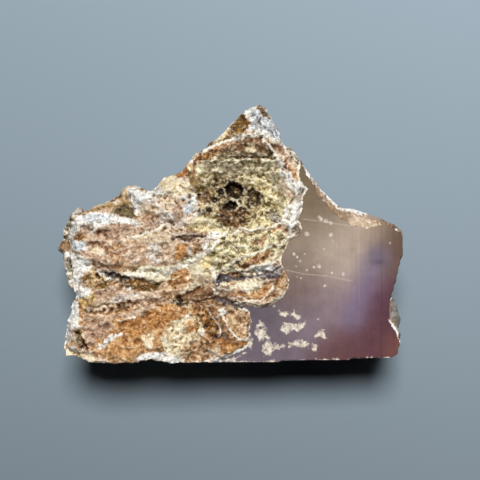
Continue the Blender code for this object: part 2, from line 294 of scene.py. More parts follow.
# Outline, height above the rest, and how far its wall slopes in
FORMS = {
    "tongue": ([(68, 222), (84, 213), (126, 210), (166, 226), (200, 231), (214, 250), (190, 264),
                (166, 276), (128, 270), (98, 268), (78, 262), (68, 244)], 0.0018, 0.0024),
    "middle_band": ([(75, 286), (88, 276), (112, 280), (140, 288), (168, 286), (196, 278), (206, 284),
                     (190, 294), (170, 300), (128, 305), (92, 307), (77, 298)], 0.0012, 0.0014),
    "low_block": ([(64, 348), (68, 320), (76, 300), (92, 310), (128, 308), (152, 302), (180, 306),
                   (196, 318), (198, 340), (190, 372), (150, 376), (92, 376), (76, 355)], 0.0018, 0.0020),
    "corner_slab": ([(199, 304), (214, 303), (236, 308), (249, 313), (250, 341), (236, 351), (222, 358),
                     (204, 350), (196, 330)], 0.0012, 0.0010),
    "island": ([(213, 285), (226, 286), (246, 281), (264, 278), (281, 266), (288, 282), (283, 296),
                (273, 303), (258, 307), (240, 304), (226, 298)], 0.0010, 0.0008),
    "shoulder": ([(130, 192), (158, 184), (178, 176), (194, 182), (204, 204), (218, 222), (204, 230),
                  (170, 226), (142, 214)], 0.0020, 0.0028),
    "vug_lip": ([(262, 138), (272, 146), (282, 160), (292, 172), (300, 186), (304, 196), (300, 212),
                 (298, 226), (288, 236), (286, 222), (292, 206), (292, 188), (284, 172),
                 (272, 158)], 0.0016, 0.0014),
    "striped_mound": ([(206, 242), (228, 236), (262, 233), (292, 230), (284, 248), (280, 262), (262, 268),
                       (222, 271), (206, 262)], 0.0013, 0.0016),
    "peak_plate": ([(204, 146), (224, 140), (258, 136), (270, 146), (286, 148), (278, 130), (264, 104),
                    (244, 108), (222, 130)], 0.0014, 0.0010),
    "vug": ([(196, 172), (206, 160), (240, 153), (274, 157), (290, 176), (293, 196), (287, 216), (266, 229),
             (240, 231), (218, 222), (206, 206), (194, 192)], -0.0068, 0.0075),
    "cave_upper": ([(223, 186), (230, 181), (240, 182), (245, 188), (244, 195), (238, 199), (230, 198),
                    (224, 192)], -0.0036, 0.0009),
    "cave_right": ([(247, 190), (254, 186), (261, 191), (262, 202), (257, 209),
                    (250, 205)], -0.0024, 0.0012),
    "cave_low": ([(220, 205), (228, 199), (237, 202), (239, 207), (232, 212), (223, 210)], -0.0036, 0.0009),
    "left_slit": ([(97, 270), (112, 271), (127, 274), (150, 279), (168, 281), (160, 288), (144, 290),
                   (126, 284), (108, 278)], -0.0020, 0.0012),
    "lens": ([(176, 237), (184, 233), (207, 236), (196, 241), (182, 243)], -0.0018, 0.0007),
    "upper_channel": ([(212, 281), (221, 272), (232, 271), (262, 268), (277, 270), (262, 277), (240, 281),
                       (222, 285)], -0.0015, 0.0010),
    "lower_channel": ([(178, 297), (206, 298), (216, 294), (232, 300), (252, 307), (256, 311), (238, 311),
                       (218, 306), (196, 304)], -0.0013, 0.0011),
    "corner_hole": ([(73, 330), (80, 331), (88, 341), (91, 350), (84, 349), (77, 339)], -0.0028, 0.0010),
}
RIND_STANDS_OUT = 0.0006
RIND_EDGE = (-0.0002, 0.0012)
ROLL_OFF = 0.0022
ROLL_OFF_WIDTH = 0.0040
FRONT_KEEPS = 0.8
FRONT_EDGE = (-0.0250, -0.0290)
WANDER = ((0.00070, 0.0030), (0.00035, 0.0010))
WANDER_APART = 0.1
FACE_LUMPS = (0.0015, 0.011)
FACE_RIPPLES = (0.0009, 0.0035)
FACE_RIPPLES_FLAT = (1.0, 1.8, 1.0)
FACE_PITS = (0.0011, 0.0048)
SIDE_LUMPS = (0.0013, 0.016)
SIDE_KNOBS = (0.0008, 0.006)
SIDE_KNOBS_FLAT = (1.0, 1.0, 1.6)
SIDE_RIDGES = (0.0011, 0.012)
SIDE_PITS = (0.0012, 0.0060)
PIT_WALL = (0.10, 0.42)
SIDE_FADE = 0.004
CARRIED_DEPTH = 0.008
CARRIED_REACH = (0.003, 0.005)
RAGGED_RIM = (0.0006, 0.0024)
SAW_KEEPS = 0.08
SHELF_KEEPS = 0.35
SHELF_REACH = (-0.0010, 0.0004)
SHELF_LUMPS_END = (-0.012, -0.008)
LOOKS_UP = (0.35, 0.80)
LOOKS_FRONT = (0.90, 0.97)
WORKED_DEPTH = (-0.004, -0.001)
LIES_FLAT = 0.9

# Raised seams: the pixels they run through, half their width in pixels, and their height
SEAMS = {
    "ledge_under_peak": ([(204, 150), (216, 145), (228, 141), (238, 138), (250, 137), (261, 136),
                          (266, 143)], 1.8, 0.0005),
    "vug_rim": ([(261, 136), (265, 142), (270, 148), (277, 155), (278, 163), (285, 173), (287, 180),
                 (293, 190), (297, 197), (293, 206), (292, 216)], 2.0, 0.0005),
    "outer_vug_rim": ([(285, 151), (293, 155), (300, 163), (297, 168), (298, 177), (303, 184), (308, 188),
                       (302, 197), (303, 208), (297, 217)], 1.5, 0.0004),
    "under_vug": ([(207, 238), (222, 236), (236, 234), (243, 230), (256, 230), (270, 227), (280, 224),
                   (288, 222)], 1.8, 0.0006),
    "junction": ([(224, 233), (216, 242), (210, 250), (198, 258), (184, 267)], 3.0, 0.0006),
    "tongue_top": ([(130, 239), (140, 236), (150, 232), (164, 226)], 1.5, 0.0003),
    "slit_bank": ([(128, 274), (146, 275), (166, 272), (184, 266)], 3.0, 0.0005),
    "mound_stripe": ([(228, 266), (240, 259), (262, 251), (278, 244), (288, 238)], 1.5, 0.0004),
    "mound_foot": ([(212, 274), (224, 268), (244, 270), (260, 266), (274, 262)], 1.8, 0.0005),
    "rind_side": ([(285, 247), (281, 256), (281, 264), (285, 272), (289, 281), (288, 290)], 1.0, 0.0003),
    "island_inner": ([(238, 297), (252, 301), (262, 298), (270, 291), (273, 284)], 0.8, 0.0003),
    "slab_edge": ([(238, 308), (248, 312), (251, 322), (249, 332), (250, 341), (246, 347)], 1.1, 0.0003),
    "slab_foot": ([(206, 361), (222, 357), (236, 351), (247, 345)], 1.8, 0.0003),
    "island_edge": ([(228, 298), (244, 303), (256, 307), (270, 304), (282, 296), (288, 286)], 1.1, 0.0004),
    "slab_curve": ([(209, 312), (213, 318), (219, 326), (221, 332), (219, 338)], 0.8, 0.0003),
    "slab_vein": ([(220, 310), (225, 318), (228, 326), (233, 334), (239, 339), (248, 338)], 1.1, 0.0004),
    "block_line": ([(118, 320), (126, 320), (136, 317)], 1.2, 0.0004),
    "back_rim": ([(188, 164), (196, 157), (210, 146), (223, 133), (235, 120), (246, 109)], 1.0, 0.0003),
    "rind_corner": ([(298, 219), (303, 229), (299, 235), (290, 237), (284, 243)], 1.2, 0.0005),
}

# Strata across the back of the vug, of the rock's own colour, in the same order
STRATA = {
    "upper": ([(204, 161), (222, 162), (244, 159), (262, 162), (278, 161)], 1.6, 0.0006),
    "middle": ([(202, 171), (222, 172), (244, 168), (262, 171), (282, 172)], 1.3, 0.0004),
    "lower": ([(197, 179), (212, 182), (228, 181), (244, 176), (260, 180), (274, 187)], 1.6, 0.0006),
    "dark_foot": ([(236, 157), (252, 157), (266, 158), (276, 159)], 1.4, -0.0006),
}

# How near to its line a seam or a stratum is whole, and where it ends, as shares of half its width
SEAM_BANK = (0.2, 1.3)

# Open pores: the pixel of each and its radius in pixels
PORES = [
    (190, 196, 2.9), (199, 195, 1.6), (177, 203, 1.3), (214, 199, 2.8), (220, 191, 3.4), (209, 210, 2.2),
    (164, 230, 1.7), (172, 233, 1.6), (183, 200, 1.1), (140, 194, 1.8), (241, 201, 1.6),
    (247, 206, 1.8), (236, 214, 1.6), (274, 247, 2.0), (283, 248, 1.6),
    (237, 262, 1.6), (222, 243, 1.3), (120, 306, 1.8), (112, 310, 1.6), (129, 302, 1.8), (90, 311, 1.6),
    (104, 310, 1.3), (180, 300, 2.2), (98, 277, 1.6), (286, 158, 1.3), (290, 154, 1.2), (283, 170, 1.3),
]
PORE_DEPTH = 0.0016
PORE_WALL = 0.0005
CRUMBS = (0.00032, 0.0014, 0.45)
SMALL_PORES = (0.00055, 0.0026)
SMALL_PORE_WALL = (0.05, 0.24)
TEXTURE = (0.00014, 0.0010)
SIDE_TEXTURE = (0.0006, 0.0025)
CRACKS = (0.00040, 0.0095)
CRACK_WIDTH = 0.045

# The spots that stay smooth: how much of the small relief each loses, and its outline
CALM_SPOTS = [
    (0.85, [(178, 296), (186, 289), (198, 284), (208, 281), (214, 290), (213, 297), (202, 301),
            (190, 303)]),
    (0.85, [(212, 282), (221, 272), (232, 271), (262, 268), (284, 263), (284, 272), (262, 277), (240, 281),
            (222, 285)]),
    (0.85, [(214, 296), (224, 298), (236, 303), (256, 308), (256, 312), (238, 310), (220, 305)]),
    (0.85, [(97, 271), (112, 271), (128, 274), (150, 280), (166, 282), (158, 289), (144, 290), (126, 285),
            (108, 279)]),
    (0.85, [(176, 238), (185, 234), (206, 237), (196, 241), (184, 242)]),
    (0.85, [(198, 307), (212, 308), (220, 322), (222, 340), (210, 337), (203, 322)]),
    (0.70, [(187, 171), (196, 173), (206, 179), (222, 182), (225, 188), (214, 195), (204, 195),
            (194, 190)]),
    (0.70, [(222, 184), (232, 180), (246, 181), (262, 188), (262, 204), (250, 208), (236, 200),
            (226, 196)]),
    (0.50, [(92, 316), (120, 314), (150, 306), (176, 306), (184, 316), (168, 334), (156, 350), (130, 356),
            (100, 352)]),
    (0.35, [(92, 246), (120, 240), (150, 240), (172, 244), (204, 246), (186, 260), (160, 264), (110, 266)]),
    (0.50, [(78, 276), (90, 272), (104, 278), (113, 288), (92, 293), (82, 288)]),
    (0.45, [(200, 310), (222, 308), (246, 316), (246, 336), (232, 348), (210, 346), (202, 330)]),
]


def rough(points, size, octaves=4):
    """Even-handed noise of about -1 to 1, whose lumps are about the given size."""
    return np.array([noise.fractal(Vector(p) / size, 1.0, 2.1, octaves) for p in points])


def ridged(points, size, octaves=3):
    """Sharp-crested noise, about 0 on average."""
    crests = [noise.ridged_multi_fractal(Vector(p) / size, 1.0, 2.0, octaves, 1.0, 2.0) for p in points]
    return np.array(crests) - 1.0


def to_cell(points, spacing):
    """Distance to the nearest of many scattered points, as a share of their spacing."""
    return np.array([noise.voronoi(Vector(p) / spacing)[0][0] for p in points])


def pits(points, spacing, wall=PIT_WALL):
    """1 in the middle of each of many scattered pits and 0 between them."""
    return 1.0 - smooth_step(*wall, to_cell(points, spacing))


def wander(points):
    """The points pushed about a little, so that outlines and lines through them turn ragged."""
    flat = np.column_stack((points, np.zeros(len(points))))
    pushed = points.copy()
    for order, (reach, size) in enumerate(WANDER):
        for axis in range(2):
            pushed[:, axis] += reach * rough(flat + WANDER_APART * (1 + order * 2 + axis), size, 3)
    return pushed


def form_height(points, bent):
    """How far the solid's own mounds, ledges and hollows stand above the sawn plane."""
    on_rind = smooth_step(*RIND_EDGE, inside_by(points, on_face(RIND)))
    spots = np.column_stack((points, np.zeros(len(points))))
    height = RIND_STANDS_OUT + FACE_LUMPS[0] * rough(spots, FACE_LUMPS[1])
    height += FACE_RIPPLES[0] * rough(spots * FACE_RIPPLES_FLAT, FACE_RIPPLES[1])
    height -= FACE_PITS[0] * pits(spots, FACE_PITS[1])
    for outline, rise, wall in FORMS.values():
        height += rise * smooth_step(0.0, wall, inside_by(bent, on_face(outline)))
    roll_off = ROLL_OFF * (1.0 - FRONT_KEEPS * smooth_step(*FRONT_EDGE, points[:, 1]))
    height -= roll_off * (1.0 - smooth_step(0.0, ROLL_OFF_WIDTH, inside_by(points, on_face(RIM))))
    return on_rind * height, on_rind


def small_height(points, bent):
    """How far seams, pores, crumbs and cracks stand above or below the mounds that carry them."""
    spots = np.column_stack((points, np.zeros(len(points))))
    height = TEXTURE[0] * rough(spots, TEXTURE[1], 3)
    height += CRUMBS[0] * (CRUMBS[2] - to_cell(spots, CRUMBS[1]))
    height -= SMALL_PORES[0] * pits(spots, SMALL_PORES[1], SMALL_PORE_WALL)
    height -= CRACKS[0] * (1.0 - smooth_step(0.0, CRACK_WIDTH, np.abs(rough(spots, CRACKS[1], 3))))
    calm = [share * smooth_step(-PORE_WALL, PORE_WALL, inside_by(bent, on_face(outline)))
            for share, outline in CALM_SPOTS]
    height *= 1.0 - np.max(calm, axis=0)
    for line, half_width, rise in list(SEAMS.values()) + list(STRATA.values()):
        whole, ends = (share * (half_width * PIXEL) for share in SEAM_BANK)
        height += rise * (1.0 - smooth_step(whole, ends, from_line(bent, on_face(line))))
    for x, y, radius in PORES:
        wall = radius * PIXEL
        to_pore = np.linalg.norm(bent - on_face((x, y)), axis=1)
        height -= PORE_DEPTH * (1.0 - smooth_step(wall - PORE_WALL, wall + PORE_WALL, to_pore))
    return height


places, normals = vertex_array(stone.data, "co"), vertex_array(stone.data, "normal")
flat_top = (normals[:, 2] > LIES_FLAT) & (np.abs(places[:, 2]) < BLOCK_STEP / 2)
places[flat_top, 2] = 0.0
front = smooth_step(*LOOKS_UP, normals[:, 2]) * smooth_step(*WORKED_DEPTH, places[:, 2])
sawn_wall = smooth_step(*LOOKS_FRONT, -normals[:, 1])
below = smooth_step(0.0, SIDE_FADE, -places[:, 2])
lumps = SIDE_LUMPS[0] * rough(places, SIDE_LUMPS[1])
lumps += SIDE_KNOBS[0] * rough(places * SIDE_KNOBS_FLAT, SIDE_KNOBS[1])
lumps += SIDE_RIDGES[0] * ridged(places, SIDE_RIDGES[1]) - SIDE_PITS[0] * pits(places, SIDE_PITS[1])
on_shelf = np.max([inside_by(places[:, :2], on_face(outline))
                   for outline, _ in LOWER_SHELVES.values()], axis=0)
on_shelf = smooth_step(*SHELF_REACH, on_shelf) * smooth_step(*SHELF_LUMPS_END, places[:, 2])
lumps *= 1.0 - (1.0 - SHELF_KEEPS) * on_shelf
lumps += SIDE_TEXTURE[0] * rough(places, SIDE_TEXTURE[1])
side = below * (1.0 - (1.0 - SAW_KEEPS) * sawn_wall) * (1.0 - front) * lumps
bent = wander(places[:, :2])
forms, on_rind = form_height(places[:, :2], bent)
moved = places + normals * side[:, None]
to_rim = from_line(places[:, :2], on_face(RIM), closed=True)
carried = (1.0 - smooth_step(0.0, CARRIED_DEPTH, -places[:, 2])) * (1.0 - smooth_step(*CARRIED_REACH, to_rim))
moved[:, 2] += np.maximum(front, carried) * forms + front * on_rind * small_height(places[:, :2], bent)
ragged = RAGGED_RIM[0] * on_rind * carried * rough(places, RAGGED_RIM[1])
moved[:, :2] += ragged[:, None] * normals[:, :2]
stone.data.vertices.foreach_set("co", moved.ravel())
stone.data.update()

# The resting spot. The stone lies on a small level spot of its broken back, with its face leaning to the
# front. The spot is cut last, so that no lump of the relief lifts it.


def drop_crumbs(work):
    """Deletes every loose bit that the level cut parts from the stone."""
    reached, waiting = set(), [max(work.verts, key=lambda vertex: vertex.co.z)]
    while waiting:
        vertex = waiting.pop()
        if vertex not in reached:
            reached.add(vertex)
            waiting += [edge.other_vert(vertex) for edge in vertex.link_edges]
    bmesh.ops.delete(work, geom=[v for v in work.verts if v not in reached], context="VERTS")


lean = Matrix.Translation(FACE_MIDDLE) @ Matrix.Rotation(FACE_LEAN, 4, "X")
block = bmesh.new()
block.from_mesh(stone.data)
block.transform(lean)
cut_away(block, Vector((0.0, 0.0, stone_low.z)), Vector((0.0, 0.0, -1.0)))
drop_crumbs(block)
bmesh.ops.dissolve_degenerate(block, edges=block.edges, dist=WELD)
bmesh.ops.triangulate(block, faces=block.faces)
block.to_mesh(stone.data)
block.free()

# The rind's stains. Iron, clay and white quartz colour the rind in patches, each with its own grain: an
# even tint broken by darker and paler grains and dotted with dark pores. Over them, hollows get painted
# shade, and crests turn paler, partly as white quartz and partly as painted highlight.

# Deep, body and bright tint, how much they vary, how dotted with pores they are, and their roughness
FINISHES = {
    "white": ((164, 152, 138), (242, 240, 233), (255, 255, 254), 1.3, 0.50, 0.80),
    "blue_white": ((156, 160, 162), (234, 239, 242), (254, 255, 255), 1.3, 0.45, 0.70),
    "grey_white": ((128, 110, 98), (210, 195, 180), (247, 240, 230), 1.3, 0.35, 0.75),
    "cream": ((166, 136, 94), (232, 213, 178), (254, 247, 224), 1.2, 0.35, 0.75),
    "green_cream": ((160, 144, 106), (228, 219, 190), (250, 247, 228), 1.1, 0.30, 0.75),
    "yellow_cream": ((184, 158, 98), (238, 222, 174), (253, 248, 220), 1.1, 0.30, 0.75),
    "pink_tan": ((132, 98, 72), (196, 164, 136), (240, 222, 198), 1.2, 0.30, 0.75),
    "pink_brown": ((104, 74, 54), (168, 134, 108), (220, 192, 166), 1.2, 0.30, 0.75),
    "orange_tan": ((128, 80, 36), (190, 140, 90), (236, 200, 148), 1.2, 0.25, 0.65),
    "amber": ((98, 58, 20), (172, 116, 62), (226, 178, 116), 1.2, 0.20, 0.55),
    "rust": ((76, 46, 20), (146, 102, 62), (212, 168, 118), 1.4, 0.35, 0.70),
    "red_brown": ((54, 28, 16), (118, 72, 48), (180, 128, 94), 1.4, 0.40, 0.70),
    "golden": ((124, 92, 42), (210, 174, 114), (246, 224, 168), 1.2, 0.35, 0.70),
    "olive": ((74, 62, 34), (140, 124, 84), (200, 184, 136), 1.2, 0.35, 0.65),
    "olive_crumb": ((78, 64, 34), (198, 182, 136), (252, 246, 212), 1.7, 0.70, 0.85),
    # Painted paler than the crumbs' own tint, as painted light on vug walls that face away from the light
    "pale_crumb": ((116, 98, 62), (226, 212, 172), (254, 249, 228), 1.5, 0.55, 0.85),
    "red_crumb": ((38, 22, 12), (98, 70, 40), (182, 150, 104), 1.7, 0.50, 0.85),
    # A brown darkened as painted shade inside the right cave
    "cave_brown": ((40, 30, 16), (116, 98, 66), (180, 160, 118), 1.5, 0.30, 0.80),
    # Painted paler than the crumbs' own tint, as painted light on the vug's upper wall that faces away from
    # the light
    "grey_crumb": ((116, 102, 74), (222, 208, 172), (252, 246, 220), 1.4, 0.45, 0.85),
    "ochre": ((44, 28, 6), (102, 70, 30), (166, 124, 70), 1.3, 0.30, 0.70),
    "speckled": ((92, 90, 90), (206, 208, 210), (254, 255, 255), 1.6, 0.60, 0.75),
    "dark_amber": ((38, 20, 4), (130, 86, 42), (208, 160, 98), 1.7, 0.40, 0.60),
    "brown": ((72, 50, 32), (144, 110, 78), (204, 170, 134), 1.3, 0.30, 0.65),
    "pale_cream": ((150, 122, 80), (232, 215, 178), (253, 248, 226), 1.5, 0.45, 0.70),
    "warm_tan": ((124, 88, 58), (196, 156, 118), (242, 216, 180), 1.2, 0.35, 0.70),
    "dark_slate": ((38, 32, 34), (80, 71, 75), (124, 113, 114), 0.8, 0.05, 0.50),
    "tan_brown": ((88, 58, 32), (178, 138, 98), (238, 212, 176), 1.5, 0.45, 0.70),
    "dark_olive": ((50, 40, 22), (108, 90, 60), (166, 146, 108), 1.2, 0.25, 0.65),
    "gold_crust": ((84, 60, 28), (154, 120, 74), (224, 196, 152), 1.6, 0.50, 0.75),
    "grey_crust": ((58, 46, 34), (160, 148, 128), (244, 236, 220), 2.0, 0.65, 0.80),
    "taupe": ((78, 72, 66), (120, 113, 106), (172, 164, 154), 1.0, 0.20, 0.75),
    "lip": ((150, 122, 94), (220, 196, 166), (250, 240, 222), 1.2, 0.25, 0.75),
    "yellow_crumb": ((112, 94, 54), (218, 202, 152), (254, 248, 218), 1.5, 0.55, 0.85),
    "grey_brown": ((74, 58, 46), (140, 118, 100), (190, 172, 154), 1.2, 0.40, 0.70),
    "slate": ((58, 52, 54), (104, 96, 98), (146, 136, 134), 0.9, 0.10, 0.50),
    # Near-black: painted shade inside the caves, pores and the hole under the nub
    "cave": ((10, 6, 2), (54, 38, 16), (136, 108, 62), 1.7, 0.25, 0.80),
    # A darkened crumb: painted shade deep in the vug
    "deep_crumb": ((46, 36, 18), (136, 116, 78), (216, 200, 156), 1.9, 0.70, 0.85),
    "nub": ((60, 38, 20), (116, 80, 50), (178, 138, 100), 0.9, 0.05, 0.50),
    "gold_olive": ((62, 46, 18), (122, 98, 56), (176, 150, 98), 0.9, 0.10, 0.60),
    "grey_tan": ((136, 116, 88), (178, 158, 128), (220, 204, 176), 0.9, 0.10, 0.70),
    "soft_slate": ((52, 44, 38), (92, 82, 74), (146, 134, 120), 0.8, 0.05, 0.50),
    "peach": ((164, 136, 106), (208, 184, 156), (246, 234, 214), 1.1, 0.15, 0.70),
    "smooth_tan": ((122, 96, 70), (160, 134, 108), (206, 182, 154), 0.9, 0.10, 0.70),
}
